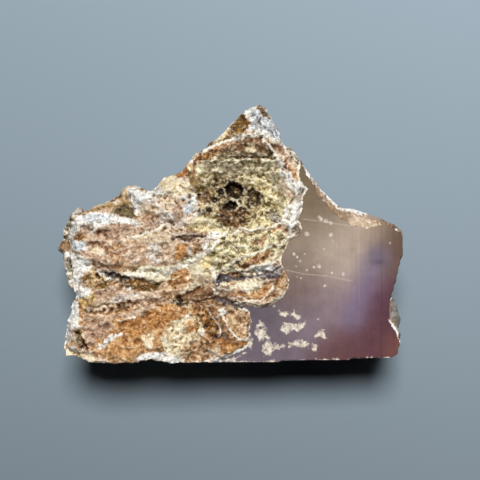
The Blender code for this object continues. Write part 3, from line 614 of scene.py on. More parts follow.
PATCHES = {
    "shoulder": ("grey_white", [(126, 190), (150, 192), (160, 176), (178, 172), (194, 176), (198, 190),
                                (206, 206), (214, 220), (190, 230), (160, 230), (142, 222), (134, 206)]),
    "shoulder_mottle": ("white", [(150, 190), (164, 184), (184, 184), (196, 196), (202, 212), (184, 222),
                                  (166, 214), (156, 204)]),
    "shoulder_pink": ("lip", [(158, 196), (174, 194), (186, 202), (180, 212), (166, 212), (158, 204)]),
    "shoulder_peak": ("white", [(125, 189), (133, 186), (146, 191), (156, 188), (150, 200), (141, 204),
                                (141, 214), (136, 214), (129, 205), (125, 198)]),
    "shoulder_top": ("cream", [(156, 180), (166, 173), (178, 174), (182, 184), (172, 192), (162, 190)]),
    "shoulder_tan": ("lip", [(142, 206), (152, 203), (160, 209), (157, 220), (147, 225), (139, 216)]),
    "shoulder_orange": ("pink_tan", [(141, 214), (147, 212), (154, 218), (150, 226), (143, 225)]),
    "shoulder_glow": ("pink_tan", [(172, 206), (178, 202), (184, 208), (183, 217), (177, 221), (172, 214)]),
    "shoulder_blue": ("blue_white", [(182, 205), (190, 203), (196, 209), (194, 214), (187, 215),
                                     (184, 211)]),
    "shoulder_foot": ("peach", [(184, 213), (195, 213), (197, 220), (187, 222)]),
    "shoulder_cream": ("cream", [(160, 183), (176, 180), (192, 182), (194, 192), (180, 196), (164, 194)]),
    "orange_nick": ("amber", [(176, 175), (184, 168), (189, 171), (185, 178), (178, 179)]),
    "yellow_apron": ("yellow_cream", [(188, 224), (202, 215), (216, 220), (236, 231), (218, 237),
                                      (200, 234), (184, 230)]),
    "tongue": ("pink_tan", [(64, 222), (84, 210), (126, 207), (142, 222), (170, 228), (206, 232),
                            (214, 250), (190, 266), (166, 278), (128, 273), (98, 270), (76, 262),
                            (64, 244)]),
    "tongue_orange": ("warm_tan", [(110, 242), (132, 239), (144, 247), (152, 258), (150, 268), (134, 271),
                                   (120, 271), (112, 266)]),
    "tongue_pink": ("pink_tan", [(122, 244), (136, 244), (148, 256), (146, 264), (130, 262), (120, 254)]),
    "tongue_mottle": ("peach", [(134, 240), (150, 235), (164, 230), (176, 240), (174, 252), (160, 246),
                                (146, 246)]),
    "white_band": ("white", [(67, 242), (69, 226), (75, 217), (86, 213), (102, 212), (120, 216), (142, 222),
                             (139, 226), (112, 225), (101, 226), (94, 233), (84, 228), (76, 231),
                             (74, 244)]),
    "blue_sheen": ("blue_white", [(84, 219), (96, 214), (112, 217), (110, 222), (94, 223)]),
    "brown_lens": ("grey_brown", [(80, 228), (86, 225), (92, 225), (97, 229), (90, 231)]),
    "brown_eye": ("rust", [(73, 239), (77, 235), (82, 235), (86, 238), (83, 242), (77, 242)]),
    "brown_band": ("pink_brown", [(95, 234), (104, 228), (111, 225), (126, 225), (142, 227), (132, 231),
                                  (116, 233), (106, 236)]),
    "band_end": ("red_brown", [(97, 233), (100, 232), (104, 233), (104, 235), (99, 235)]),
    "bright_eye": ("blue_white", [(72, 243), (79, 241), (89, 243), (86, 250), (79, 253), (73, 248)]),
    "cream_streak": ("cream", [(130, 240), (140, 235), (150, 231), (160, 225), (168, 227), (157, 234),
                               (146, 239), (136, 241)]),
    "dark_vee": ("red_brown", [(90, 243), (96, 242), (102, 245), (107, 245), (110, 249), (107, 253),
                               (103, 248), (96, 245)]),
    "streak_tail": ("lip", [(108, 243), (118, 240), (130, 237), (130, 241), (118, 245)]),
    "cream_lens": ("cream", [(91, 249), (97, 246), (104, 248), (107, 252), (101, 255), (93, 254)]),
    "pink_pocket": ("pink_brown", [(89, 255), (104, 254), (113, 262), (108, 270), (96, 268), (90, 262)]),
    "grey_blotch": ("grey_white", [(147, 245), (156, 243), (162, 250), (162, 262), (154, 265), (147, 257)]),
    "tongue_rust": ("tan_brown", [(175, 245), (186, 242), (198, 244), (208, 246), (203, 253), (192, 259),
                                  (180, 263), (175, 256)]),
    "tongue_amber": ("amber", [(176, 246), (184, 245), (187, 252), (184, 261), (178, 261)]),
    "tongue_fleck": ("grey_white", [(188, 248), (192, 247), (193, 255), (189, 258)]),
    "grey_lens": ("grey_brown", [(172, 235), (184, 232), (196, 231), (208, 235), (197, 239), (184, 243)]),
    "slit_bank": ("green_cream", [(124, 271), (142, 266), (160, 266), (176, 264), (188, 258), (200, 252),
                                  (209, 249), (210, 256), (196, 265), (184, 274), (168, 280), (148, 281),
                                  (132, 279)]),
    "left_white": ("white", [(58, 252), (68, 252), (82, 255), (90, 260), (91, 268), (82, 273), (77, 282),
                             (75, 294), (86, 295), (92, 292), (88, 300), (80, 302), (70, 298), (71, 276),
                             (64, 262)]),
    "ochre_lump": ("gold_crust", [(80, 279), (86, 273), (96, 273), (105, 279), (108, 286), (100, 289),
                                  (90, 287), (84, 285)]),
    "lump_tail": ("warm_tan", [(107, 280), (112, 281), (120, 286), (115, 290), (107, 289)]),
    "lump_foot": ("white", [(74, 285), (83, 287), (91, 289), (92, 297), (84, 299), (76, 298)]),
    "middle_band": ("pink_tan", [(90, 292), (112, 284), (140, 291), (168, 289), (196, 280), (210, 287),
                                 (198, 301), (170, 304), (130, 305), (92, 310)]),
    "band_streak": ("grey_white", [(110, 298), (122, 294), (138, 292), (142, 296), (124, 301), (112, 303)]),
    "band_brown": ("pink_brown", [(158, 289), (174, 283), (186, 284), (184, 296), (168, 299), (160, 296)]),
    "band_dark": ("rust", [(167, 281), (176, 278), (188, 279), (187, 289), (174, 290)]),
    "band_orange": ("orange_tan", [(172, 270), (184, 268), (192, 270), (188, 277), (178, 279), (168, 278)]),
    "golden_spot": ("golden", [(78, 301), (87, 297), (92, 292), (96, 296), (93, 305), (86, 309),
                               (80, 304)]),
    "lump_shade": ("ochre", [(97, 281), (108, 280), (113, 284), (108, 287), (99, 286)]),
    "slit": ("soft_slate", [(98, 272), (108, 271), (118, 272), (128, 275), (129, 280), (117, 280),
                            (106, 277)]),
    "slit_floor": ("ochre", [(116, 280), (130, 281), (146, 283), (162, 285), (158, 290), (146, 291),
                             (134, 289), (124, 285)]),
    "slit_middle": ("ochre", [(122, 279), (136, 280), (150, 283), (144, 286), (130, 284)]),
    "band_pale": ("lip", [(96, 305), (110, 302), (117, 304), (108, 309), (96, 310)]),
    # A line of dark pores, widened below into painted shade under the middle band
    "pit_line_and_shade": ("brown", [(82, 310), (94, 312), (106, 311), (116, 306), (126, 300), (134, 300), (126, 309),
                           (116, 315), (104, 315), (86, 313)]),
    "block": ("orange_tan", [(82, 316), (100, 313), (124, 311), (150, 304), (172, 303), (188, 309),
                             (184, 322), (172, 332), (164, 346), (152, 354), (134, 358), (128, 364),
                             (104, 364), (92, 352), (84, 336)]),
    "block_pink": ("pink_tan", [(84, 316), (100, 316), (124, 314), (140, 306), (156, 303), (160, 309),
                                (140, 316), (118, 318), (98, 322), (86, 322)]),
    "block_deep": ("amber", [(118, 323), (128, 318), (140, 317), (146, 326), (142, 335), (130, 338),
                             (120, 333)]),
    "block_glow": ("amber", [(148, 310), (166, 307), (176, 312), (172, 322), (156, 326), (146, 318)]),
    "block_left": ("pink_tan", [(84, 318), (98, 318), (98, 340), (92, 352), (86, 338)]),
    "block_brown": ("pink_brown", [(99, 321), (109, 317), (115, 326), (109, 337), (101, 339), (97, 331)]),
    "block_vein": ("white", [(97, 351), (100, 343), (108, 339), (118, 332), (124, 327), (122, 333),
                             (112, 341), (104, 348)]),
    "block_spots": ("cream", [(143, 335), (150, 332), (155, 340), (151, 349), (144, 345)]),
    "block_rim": ("white", [(71, 298), (78, 303), (80, 312), (80, 322), (80, 330), (76, 328), (72, 335),
                            (67, 346), (70, 354), (64, 359), (59, 352), (60, 341), (64, 322)]),
    "corner_white": ("cream", [(59, 344), (68, 346), (74, 352), (84, 350), (94, 353), (104, 361), (94, 365),
                               (74, 361), (62, 359)]),
    "corner_hole": ("red_brown", [(71, 331), (79, 331), (86, 338), (91, 346), (88, 352), (82, 349),
                                  (75, 340)]),
    "corner_gold": ("olive", [(75, 333), (80, 333), (85, 341), (82, 344), (77, 339)]),
    "pink_foot": ("pink_tan", [(97, 356), (104, 357), (114, 366), (98, 366)]),
    "foot_white": ("white", [(132, 361), (140, 354), (156, 351), (172, 350), (186, 356), (186, 364),
                             (160, 362), (146, 361)]),
    "yellow_quartz": ("pale_cream", [(162, 336), (171, 322), (184, 319), (198, 316), (204, 326), (201, 338),
                                     (194, 346), (184, 352), (176, 358), (166, 352)]),
    "quartz_amber": ("orange_tan", [(187, 320), (195, 319), (197, 328), (191, 335), (186, 328)]),
    "slab": ("rust", [(196, 306), (206, 304), (214, 303), (236, 307), (251, 312), (252, 342), (238, 351),
                      (224, 358), (206, 352), (200, 342), (206, 330)]),
    "slab_granular": ("tan_brown", [(226, 308), (240, 309), (248, 314), (249, 336), (238, 338), (230, 330),
                                    (226, 318)]),
    "slab_left": ("dark_amber", [(197, 307), (206, 307), (213, 316), (219, 328), (218, 340), (210, 336),
                                 (203, 322)]),
    "slab_middle": ("brown", [(211, 310), (220, 310), (224, 322), (229, 334), (222, 342), (220, 328)]),
    "slab_white": ("white", [(218, 308), (225, 307), (228, 314), (222, 317)]),
    "slab_foot": ("amber", [(217, 341), (232, 341), (246, 341), (240, 348), (230, 353), (220, 352)]),
    "foot_swirl": ("tan_brown", [(180, 351), (192, 342), (205, 345), (209, 356), (200, 363), (186, 362)]),
    "foot_pale": ("lip", [(208, 349), (220, 349), (222, 355), (211, 357)]),
    "foot_edge": ("white", [(212, 358), (222, 355), (238, 350), (247, 344), (249, 350), (234, 357),
                            (220, 365), (212, 365)]),
    "nub": ("nub", [(177, 297), (186, 289), (197, 284), (207, 280), (214, 289), (214, 298), (202, 302),
                    (190, 304), (180, 302)]),
    "nub_top": ("cream", [(180, 293), (190, 284), (202, 279), (208, 281), (196, 287), (186, 293)]),
    "nub_bank": ("tan_brown", [(160, 290), (170, 286), (179, 290), (177, 297), (166, 299)]),
    # An open pore and a painted shadow under the nub
    "nub_hole_and_shadow": ("cave", [(175, 297), (184, 300), (190, 302), (186, 306), (176, 307), (171, 302)]),
    "junction_cream": ("green_cream", [(192, 264), (208, 254), (214, 262), (209, 272), (212, 276),
                                       (200, 278), (190, 276)]),
    "junction_glow": ("yellow_cream", [(199, 258), (208, 256), (213, 262), (207, 270), (200, 266)]),
    "junction_slope": ("grey_tan", [(190, 276), (200, 275), (210, 275), (213, 280), (206, 288), (196, 285),
                                    (189, 281)]),
    "junction_white": ("white", [(203, 238), (216, 231), (228, 232), (224, 243), (213, 252), (206, 258),
                                 (201, 250)]),
    "mound": ("olive_crumb", [(208, 242), (226, 235), (258, 231), (292, 227), (294, 240), (283, 248),
                              (279, 262), (262, 269), (244, 271), (222, 271), (208, 264)]),
    "channel_lip": ("white", [(254, 270), (262, 266), (272, 263), (274, 267), (264, 270), (256, 272)]),
    "mound_rust": ("tan_brown", [(250, 241), (262, 238), (270, 236), (264, 244), (252, 247)]),
    "mound_rust_low": ("rust", [(238, 266), (252, 257), (268, 252), (273, 256), (258, 265), (246, 270)]),
    "mound_foot": ("cream", [(250, 269), (264, 261), (276, 252), (285, 246), (284, 258), (272, 265),
                             (258, 269)]),
    "vug": ("pale_crumb", [(194, 168), (206, 157), (240, 152), (278, 155), (292, 176), (296, 198),
                           (290, 218), (268, 231), (240, 233), (214, 228), (202, 212), (194, 190)]),
    "vug_grey": ("grey_crumb", [(198, 165), (212, 161), (232, 163), (248, 167), (240, 174), (222, 177),
                                (204, 173)]),
    "vug_yellow": ("yellow_crumb", [(254, 178), (278, 170), (290, 184), (292, 204), (284, 220), (262, 230),
                                    (244, 231), (238, 222), (246, 208), (262, 200)]),
    "vug_upper_yellow": ("yellow_crumb", [(196, 170), (212, 172), (232, 176), (250, 174), (246, 180),
                                          (230, 180), (212, 180), (198, 177)]),
    "vug_left_wall": ("gold_olive", [(187, 171), (194, 174), (204, 180), (216, 181), (225, 185), (222, 191),
                                     (214, 196), (204, 197), (195, 190), (190, 182)]),
    "vug_wall_olive": ("olive", [(205, 181), (216, 181), (224, 185), (214, 190), (206, 188)]),
    "vug_wall_grey": ("grey_white", [(203, 180), (210, 179), (214, 183), (208, 186), (203, 185)]),
    "vug_shelf": ("cream", [(196, 194), (208, 200), (220, 198), (240, 206), (252, 208), (246, 214),
                            (228, 214), (212, 212), (198, 208)]),
    # Painted light on the vug's right wall
    "vug_right_painted_light": ("green_cream", [(268, 171), (282, 174), (285, 187), (274, 190)]),
    "vug_olive": ("olive_crumb", [(254, 204), (272, 198), (278, 208), (268, 217), (254, 215)]),
    # Painted shade down the vug's slopes round the caves
    "vug_deep_shade": ("deep_crumb", [(202, 182), (214, 177), (232, 176), (250, 180), (264, 188), (267, 202),
                                (260, 213), (246, 212), (236, 216), (220, 213), (210, 206), (203, 196)]),
    "vug_bridge": ("pale_crumb", [(226, 199), (238, 199), (247, 198), (247, 210), (240, 208), (236, 202),
                                  (226, 202)]),
    "vug_ring": ("deep_crumb", [(196, 211), (206, 208), (222, 206), (240, 207), (258, 210), (256, 219),
                                (246, 226), (236, 231), (226, 227), (214, 221), (202, 217)]),
    "vug_red": ("red_crumb", [(214, 212), (226, 209), (238, 209), (250, 213), (246, 224), (235, 230),
                              (226, 226), (217, 220)]),
    "vug_red_small": ("red_crumb", [(195, 191), (208, 190), (218, 196), (216, 202), (206, 203),
                                    (196, 200)]),
    # The caves and pores in the vug are painted near-black or dark brown: painted shade in them
    "cave_upper": ("cave", [(223, 185), (230, 182), (241, 182), (246, 188), (245, 195), (241, 200),
                            (235, 198), (229, 193)]),
    "cave_right": ("cave_brown", [(247, 189), (254, 186), (261, 191), (262, 202), (257, 209), (250, 205),
                                  (247, 197)]),
    "cave_low": ("cave", [(220, 204), (228, 199), (237, 202), (239, 207), (232, 212), (223, 210)]),
    "cave_small": ("cave", [(216, 190), (220, 187), (225, 190), (224, 196), (218, 195)]),
    "cave_dot": ("cave", [(211, 198), (214, 196), (218, 199), (215, 203), (211, 202)]),
    "ledge_olive": ("dark_olive", [(210, 153), (228, 149), (246, 148), (258, 148), (270, 150), (278, 155),
                                   (268, 159), (252, 158), (234, 158), (218, 159)]),
    "ledge_rust": ("brown", [(228, 146), (240, 139), (252, 138), (261, 137), (269, 147), (262, 151),
                             (252, 147), (238, 151), (224, 150)]),
    "ledge_rust_left": ("dark_amber", [(197, 159), (206, 152), (214, 147), (225, 148), (216, 156),
                                       (208, 161), (199, 162)]),
    "peak_pink": ("pink_tan", [(238, 131), (262, 133), (276, 141), (285, 148), (276, 151), (264, 139),
                               (250, 138), (238, 140)]),
    "peak_white": ("white", [(245, 108), (259, 101), (266, 108), (278, 128), (286, 144), (276, 141),
                             (264, 135), (250, 134), (247, 127), (251, 118)]),
    "peak_blue": ("speckled", [(250, 112), (264, 106), (272, 118), (281, 137), (274, 138), (264, 131),
                               (250, 128)]),
    "peak_brown_edge": ("ochre", [(255, 105), (261, 104), (269, 116), (264, 117), (258, 111)]),
    "peak_foot": ("white", [(241, 130), (250, 127), (262, 130), (268, 137), (250, 137), (238, 140),
                            (232, 140)]),
    "peak_blush": ("lip", [(238, 134), (246, 131), (254, 133), (250, 137), (240, 138)]),
    "peak_ochre": ("ochre", [(230, 127), (238, 117), (243, 113), (247, 117), (249, 124), (246, 130),
                             (241, 135), (236, 140), (226, 138)]),
    "peak_yellow_edge": ("yellow_cream", [(209, 145), (221, 135), (226, 131), (226, 139), (216, 145)]),
    "ledge_cream": ("cream", [(243, 147), (250, 145), (258, 148), (256, 152), (246, 151)]),
    "lip_base": ("lip", [(272, 148), (288, 150), (300, 160), (304, 178), (310, 190), (304, 212), (300, 232),
                         (286, 238), (280, 222), (290, 206), (290, 188), (282, 170)]),
    "edge_rust": ("pink_brown", [(268, 143), (283, 144), (290, 151), (284, 155), (276, 151)]),
    "edge_specks": ("grey_crust", [(283, 146), (297, 151), (306, 166), (298, 164), (290, 158)]),
    "lip_white": ("white", [(272, 153), (282, 159), (290, 171), (302, 183), (310, 190), (303, 197),
                            (296, 194), (286, 184), (279, 171)]),
    "lip_orange": ("orange_tan", [(288, 161), (294, 168), (299, 179), (296, 183), (290, 173)]),
    "lip_slit": ("red_brown", [(283, 158), (288, 163), (290, 172), (286, 171)]),
    "lip_tan": ("lip", [(278, 180), (286, 181), (293, 191), (290, 200), (282, 197), (279, 190)]),
    "lip_side": ("lip", [(291, 196), (297, 192), (301, 200), (299, 212), (293, 214)]),
    "lip_shade": ("grey_crust", [(270, 210), (279, 212), (284, 220), (276, 223), (268, 217)]),
    "lip_low": ("white", [(285, 208), (296, 198), (306, 206), (299, 219), (301, 229), (290, 236),
                          (286, 228), (283, 219)]),
    "corner_brown": ("grey_brown", [(296, 221), (302, 228), (298, 234), (293, 232)]),
    "corner_pink": ("pink_brown", [(282, 228), (288, 226), (289, 234), (284, 236)]),
    "island": ("pink_brown", [(212, 286), (230, 288), (250, 287), (264, 279), (276, 268), (289, 276),
                              (289, 290), (281, 300), (268, 306), (256, 308), (244, 304), (226, 298)]),
    "island_outer": ("tan_brown", [(267, 280), (278, 268), (287, 272), (288, 286), (281, 298), (267, 304),
                                   (272, 292), (273, 284)]),
    "island_rust": ("orange_tan", [(228, 291), (244, 292), (258, 288), (268, 285), (273, 291), (262, 300),
                                   (248, 298), (236, 297)]),
    "upper_channel": ("slate", [(211, 282), (221, 273), (229, 273), (231, 277), (242, 275), (254, 274),
                                (268, 273), (277, 267), (284, 268), (280, 278), (266, 280), (262, 277),
                                (248, 280), (232, 282), (219, 285)]),
    "channel_left": ("dark_slate", [(211, 282), (220, 274), (227, 273), (229, 278), (224, 284),
                                    (215, 285)]),
    "channel_right": ("dark_slate", [(264, 274), (274, 272), (275, 278), (265, 280)]),
    "channel_fleck": ("grey_crust", [(236, 273), (246, 271), (256, 270), (266, 268), (274, 268), (264, 273),
                                     (252, 275), (240, 276)]),
    "fleck_right": ("blue_white", [(250, 270), (258, 266), (268, 265), (277, 266), (272, 271), (260, 273)]),
    "island_left": ("grey_brown", [(213, 285), (230, 286), (233, 291), (222, 293)]),
    "island_white": ("green_cream", [(230, 287), (246, 282), (262, 279), (268, 279), (264, 284), (257, 291),
                                     (248, 292), (240, 289), (233, 288)]),
    "island_pale": ("lip", [(244, 300), (256, 299), (266, 298), (264, 305), (254, 307), (246, 304)]),
    "channel_bank": ("brown", [(199, 300), (211, 293), (220, 297), (224, 303), (214, 306), (204, 305)]),
    "lower_channel": ("slate", [(216, 297), (224, 298), (234, 302), (246, 306), (257, 309), (265, 309),
                                (252, 313), (238, 309), (226, 306), (218, 302)]),
    "left_spike": ("brown", [(54, 250), (60, 242), (64, 239), (70, 243), (69, 250), (62, 253)]),
    "left_shelf": ("grey_crust", [(60, 240), (60, 229), (67, 214), (77, 206), (85, 211), (74, 217),
                                  (70, 228), (67, 240)]),
    "left_strip": ("grey_crust", [(60, 256), (67, 255), (71, 262), (72, 272), (72, 282), (71, 290),
                                  (66, 291), (62, 275)]),
    "back_shelf": ("gold_crust", [(84, 214), (90, 204), (106, 202), (119, 197), (119, 189), (125, 185),
                                  (127, 198), (135, 212), (126, 208), (104, 207), (94, 211)]),
    "back_shelf_shade": ("dark_olive", [(110, 211), (122, 204), (129, 204), (136, 214), (132, 218),
                                        (120, 216)]),
}
EDGE_SOFTNESS = 0.0002
FRAY = (0.0007, 0.0012)
VEINS = (0.0075, 0.04, 0.6)
GRAIN = ((0.0030, 0.26), (0.0011, 0.36), (0.0005, 0.30))
DOTS = (0.0011, (0.06, 0.30))
DOTS_DARKEN = 0.6
# The coat under the patches: a finish, the size of its blotches, and where its noise begins and is full
COAT = [
    ("orange_tan", 0.0090, (-0.05, 0.15)),
    ("cream", 0.0060, (0.10, 0.30)),
    ("rust", 0.0110, (0.15, 0.40)),
    ("white", 0.0045, (0.22, 0.38)),
    ("red_brown", 0.0070, (0.35, 0.50)),
]
# Each pattern reads the noise at another place, so that none follows another
COAT_APART = 0.2
BREAKS_APART = 1.7
VEINS_APART = 0.9
VEIN_SPOTS_APART = 1.1
# Painted shade in hollows: rounds of evening out, the depths at which the shade begins and is full, and how
# much it shows
HOLLOW_SHADE = ((4, 0.00005, 0.00045, 0.55), (30, 0.0006, 0.0034, 0.25))
# Paler crests, partly white quartz and partly painted highlight: rounds of evening out, the heights at which
# they begin and are full, and how much shows
CREST_QUARTZ_AND_HIGHLIGHT = (4, 0.00005, 0.00035, 0.55)
HOLLOW_SHADE_TINT = (1.0, 1.25, 1.6)
CREST_QUARTZ_AND_HIGHLIGHT_TINT = (250, 244, 228)
SEAM_TINT = (250, 244, 230)
SEAM_BREAKS = (0.0045, (-0.40, 0.00), 0.50)
SEAM_SHARE = 0.95
SEAM_DOTS = 0.5
SEAM_FADE = (0.4, 1.1)
VEIN_SPOTS = (0.012, (0.0, 0.3))
PATCHES_REACH = (-0.011, -0.007)
PATCHES_TURN = (0.0, 0.2)
# Laid over all the rest: rind left along the edges of the sawn side, and clean edges of the rind itself
SKIN = {
    "rim_white": ("white", [(300, 160), (308, 170), (323, 190), (341, 207), (355, 208), (368, 213),
                            (366, 218), (352, 213), (340, 211), (321, 195), (306, 174)]),
    "rim_rust": ("smooth_tan", [(310, 175), (322, 194), (340, 210), (356, 214), (352, 222), (342, 220),
                                (330, 209), (318, 195)]),
    "rim_patch": ("peach", [(347, 222), (352, 216), (364, 217), (378, 222), (385, 225), (376, 226),
                            (368, 229), (358, 226), (350, 225)]),
    "rim_dark": ("grey_brown", [(380, 218), (390, 221), (399, 225), (405, 231), (404, 238), (397, 231),
                                (389, 226)]),
    "notch_white": ("white", [(73, 288), (80, 290), (82, 297), (76, 300), (72, 295)]),
    "shoulder_edge": ("white", [(129, 189), (145, 192), (142, 201), (140, 211), (135, 211), (131, 203)]),
    "junction_light": ("yellow_cream", [(199, 257), (207, 255), (212, 261), (208, 270), (201, 271)]),
    "channel_edge": ("white", [(256, 269), (264, 266), (273, 264), (274, 267), (264, 270)]),
    "chip_edge": ("white", [(388, 319), (391, 319), (398, 329), (402, 340), (401, 345), (396, 333)]),
    "chip_wall": ("taupe", [(394, 296), (410, 296), (410, 345), (402, 343), (397, 328), (390, 318),
                            (390, 303)]),
}


def face_view(mesh):
    """Every vertex in the face's own frame: its place and its normal."""
    back = np.array(lean.inverted())
    return (vertex_array(mesh, "co") @ back[:3, :3].T + back[:3, 3],
            vertex_array(mesh, "normal") @ back[:3, :3].T)


def neighbour_mean(values, edges, rounds):
    """Each vertex's values evened out with its neighbours' that many times."""
    ends, others = np.concatenate((edges, edges[:, ::-1])).T
    count = np.bincount(ends, minlength=len(values)) + 1.0
    for _ in range(rounds):
        sums = [np.bincount(ends, column[others], len(values)) + column for column in values.T]
        values = np.array(sums).T / count[:, None]
    return values


def grained(finish, grain, dots):
    """A finish's tint at each vertex, in the display's own numbers from 0 to 255."""
    deep, body, bright, vary, dotted, _ = (np.array(value) for value in FINISHES[finish])
    level = 2.0 * np.clip(0.5 + vary * grain - DOTS_DARKEN * dotted * dots, 0.0, 1.0)[:, None]
    return deep + (body - deep) * np.minimum(level, 1.0) + (bright - body) * np.maximum(level - 1.0, 0.0)


def lay_over(under, over, share):
    """Mixes one set of values over another, vertex by vertex."""
    return under + (np.array(over) - under) * share[:, None]


def to_linear(tint):
    """The display's numbers from 0 to 255 as light."""
    tint = np.clip(tint, 0.0, 255.0) / 255.0
    return np.where(tint < 0.04045, tint / 12.92, ((tint + 0.055) / 1.055) ** 2.4)


def lay_patches(patches):
    """Lays patches of finishes over the rind's tint, one after another, with frayed edges."""
    for finish, outline in patches.values():
        outline = on_face(outline)
        near = np.all((bent > outline.min(axis=0) - FRAY[1]) & (bent < outline.max(axis=0) + FRAY[1]), axis=1)
        inside = inside_by(bent[near], outline) + frayed[near]
        share = reached[near] * smooth_step(-EDGE_SOFTNESS, EDGE_SOFTNESS, inside)
        rind_tint[near] = lay_over(rind_tint[near], grained(finish, grain[near], dots[near]), share)
        rind_finish[near] += (FINISHES[finish][5] - rind_finish[near]) * share


stone_edges = np.empty(len(stone.data.edges) * 2, dtype=np.int32)
stone.data.edges.foreach_get("vertices", stone_edges)
stone_edges = stone_edges.reshape(-1, 2)
spots, facing = face_view(stone.data)
grain = sum(share * rough(spots, size) for size, share in GRAIN)
dots = pits(spots, DOTS[0], DOTS[1])
bent = wander(spots[:, :2])
frayed = FRAY[0] * rough(spots, FRAY[1])
rind_tint = grained("pink_tan", grain, dots)
rind_finish = np.full(len(spots), FINISHES["pink_tan"][5])
for order, (finish, size, edge) in enumerate(COAT):
    share = smooth_step(*edge, rough(spots + COAT_APART * (order + 3), size))
    rind_tint = lay_over(rind_tint, grained(finish, grain, dots), share)
    rind_finish += (FINISHES[finish][5] - rind_finish) * share
reached = np.maximum(smooth_step(*PATCHES_REACH, spots[:, 2]), smooth_step(*PATCHES_TURN, facing[:, 2]))
lay_patches(PATCHES)
unbroken = smooth_step(*SEAM_BREAKS[1], rough(spots + BREAKS_APART, SEAM_BREAKS[0]))
seam_share = SEAM_SHARE * reached * (1.0 - SEAM_DOTS * dots)
seam_share *= SEAM_BREAKS[2] + (1.0 - SEAM_BREAKS[2]) * unbroken
for line, half_width, _ in SEAMS.values():
    nearness = 1.0 - smooth_step(*SEAM_FADE, from_line(bent, on_face(line)) / (half_width * PIXEL))
    rind_tint = lay_over(rind_tint, SEAM_TINT, seam_share * nearness)
veins = 1.0 - smooth_step(0.0, VEINS[1], np.abs(rough(spots + VEINS_APART, VEINS[0], 3)))
veined = smooth_step(*VEIN_SPOTS[1], rough(spots + VEIN_SPOTS_APART, VEIN_SPOTS[0]))
rind_tint = lay_over(rind_tint, SEAM_TINT, VEINS[2] * veins * veined)
# Painted shade: each vertex sunk below its neighbours is darkened and browned.
for rounds, begins, full, share in HOLLOW_SHADE:
    depth = np.sum((neighbour_mean(spots, stone_edges, rounds) - spots) * facing, axis=1)
    hollow = share * smooth_step(begins, full, depth)
    rind_tint *= (1.0 - hollow[:, None]) ** HOLLOW_SHADE_TINT
    # Crests are laid paler: partly white quartz, partly painted highlight.
    if rounds == CREST_QUARTZ_AND_HIGHLIGHT[0]:
        rind_tint = lay_over(rind_tint, CREST_QUARTZ_AND_HIGHLIGHT_TINT, CREST_QUARTZ_AND_HIGHLIGHT[3] * smooth_step(*CREST_QUARTZ_AND_HIGHLIGHT[1:3], -depth))
lay_patches(SKIN)

# The chalcedony's own tints. Where it is sawn it shades from warm taupe to plum, with a violet haze band,
# pale specks and two healed cracks.

# The pixel each tint is centred on, how many pixels it reaches, and the tint
TINTS = {
    "smoky_corner": ((312, 204), 23, (106, 90, 66)),
    "warm_middle": ((342, 246), 29, (182, 163, 148)),
    "grey_left": ((292, 264), 18, (130, 114, 100)),
    "warm_right": ((367, 235), 12, (170, 148, 128)),
    "smoke_right": ((394, 246), 16, (88, 64, 48)),
    "smoke_middle": ((384, 257), 10, (90, 72, 72)),
    "mauve_left": ((296, 292), 16, (108, 86, 80)),
    "mauve_low": ((304, 326), 14, (128, 113, 124)),
    "lilac_low": ((325, 307), 20, (134, 115, 122)),
    "slate_edge": ((262, 322), 22, (100, 89, 97)),
    "slate_hollow": ((262, 314), 8, (84, 77, 88)),
    "plum": ((386, 300), 18, (84, 48, 60)),
    "plum_foot": ((368, 344), 18, (92, 56, 62)),
    "brown_edge": ((400, 256), 8, (112, 80, 66)),
    "red_foot": ((396, 350), 9, (114, 72, 62)),
    "red_bottom": ((336, 352), 15, (98, 66, 66)),
    "slate_foot": ((268, 354), 22, (112, 98, 108)),
}
# A band and a fleck over those: their place and reach in pixels, their tint, and how much of it shows
HAZE = ([(378, 257), (372, 268), (364, 290), (353, 318)], 10.0, (122, 112, 146), 0.55)
DARK_FLECK = ((378, 262), (5.0, 2.0), (84, 68, 86), 0.6)
# Keeps the sum of the weights above nothing far from every tint
LEAST_WEIGHT = 1e-12
# How far down the walls the clear stone shows before the rind begins, and how unevenly
WALL_DEPTH = (0.0065, 0.0035, 0.011)
SAWN_DEPTH = 0.019
FRONT_WALL = (0.80, 0.95)
WALL_TINT = (112, 84, 84)
WALL_SHARE = 0.8
WALL_BEGINS = (0.0, 0.006)
BANDS = (0.0016, 0.10)
BANDS_WANDER = (0.0012, 0.009)
BANDS_BEGIN = (0.0004, 0.002)
CHIP_WIDTH = 0.0002
MARKS_DEPTH = 0.0005
MILLIMETRES = 1000.0


def soft_spot(distance):
    """1 in the middle of a soft spot, and less with the distance, given as a share of its reach."""
    return np.exp(-0.5 * distance ** 2)


weights = [soft_spot(np.linalg.norm(spots[:, :2] - on_face(place), axis=1) / (reach * PIXEL)) + LEAST_WEIGHT
           for place, reach, _ in TINTS.values()]
tints = np.array([tint for *_, tint in TINTS.values()])
sawn_tint = np.array(weights).T @ tints / np.sum(weights, axis=0)[:, None]
haze = from_line(spots[:, :2], on_face(HAZE[0])) / (HAZE[1] * PIXEL)
sawn_tint = lay_over(sawn_tint, HAZE[2], HAZE[3] * soft_spot(haze))
fleck = np.linalg.norm((spots[:, :2] - on_face(DARK_FLECK[0])) / (np.array(DARK_FLECK[1]) * PIXEL), axis=1)
sawn_tint = lay_over(sawn_tint, DARK_FLECK[2], DARK_FLECK[3] * soft_spot(fleck))
inward = np.maximum(-spots[:, 2], 0.0)
sawn_tint = lay_over(sawn_tint, WALL_TINT, WALL_SHARE * smooth_step(*WALL_BEGINS, inward))
bands = np.sin((inward + BANDS_WANDER[0] * rough(spots, BANDS_WANDER[1])) / BANDS[0])
sawn_tint *= (1.0 + BANDS[1] * bands * smooth_step(*BANDS_BEGIN, inward))[:, None]

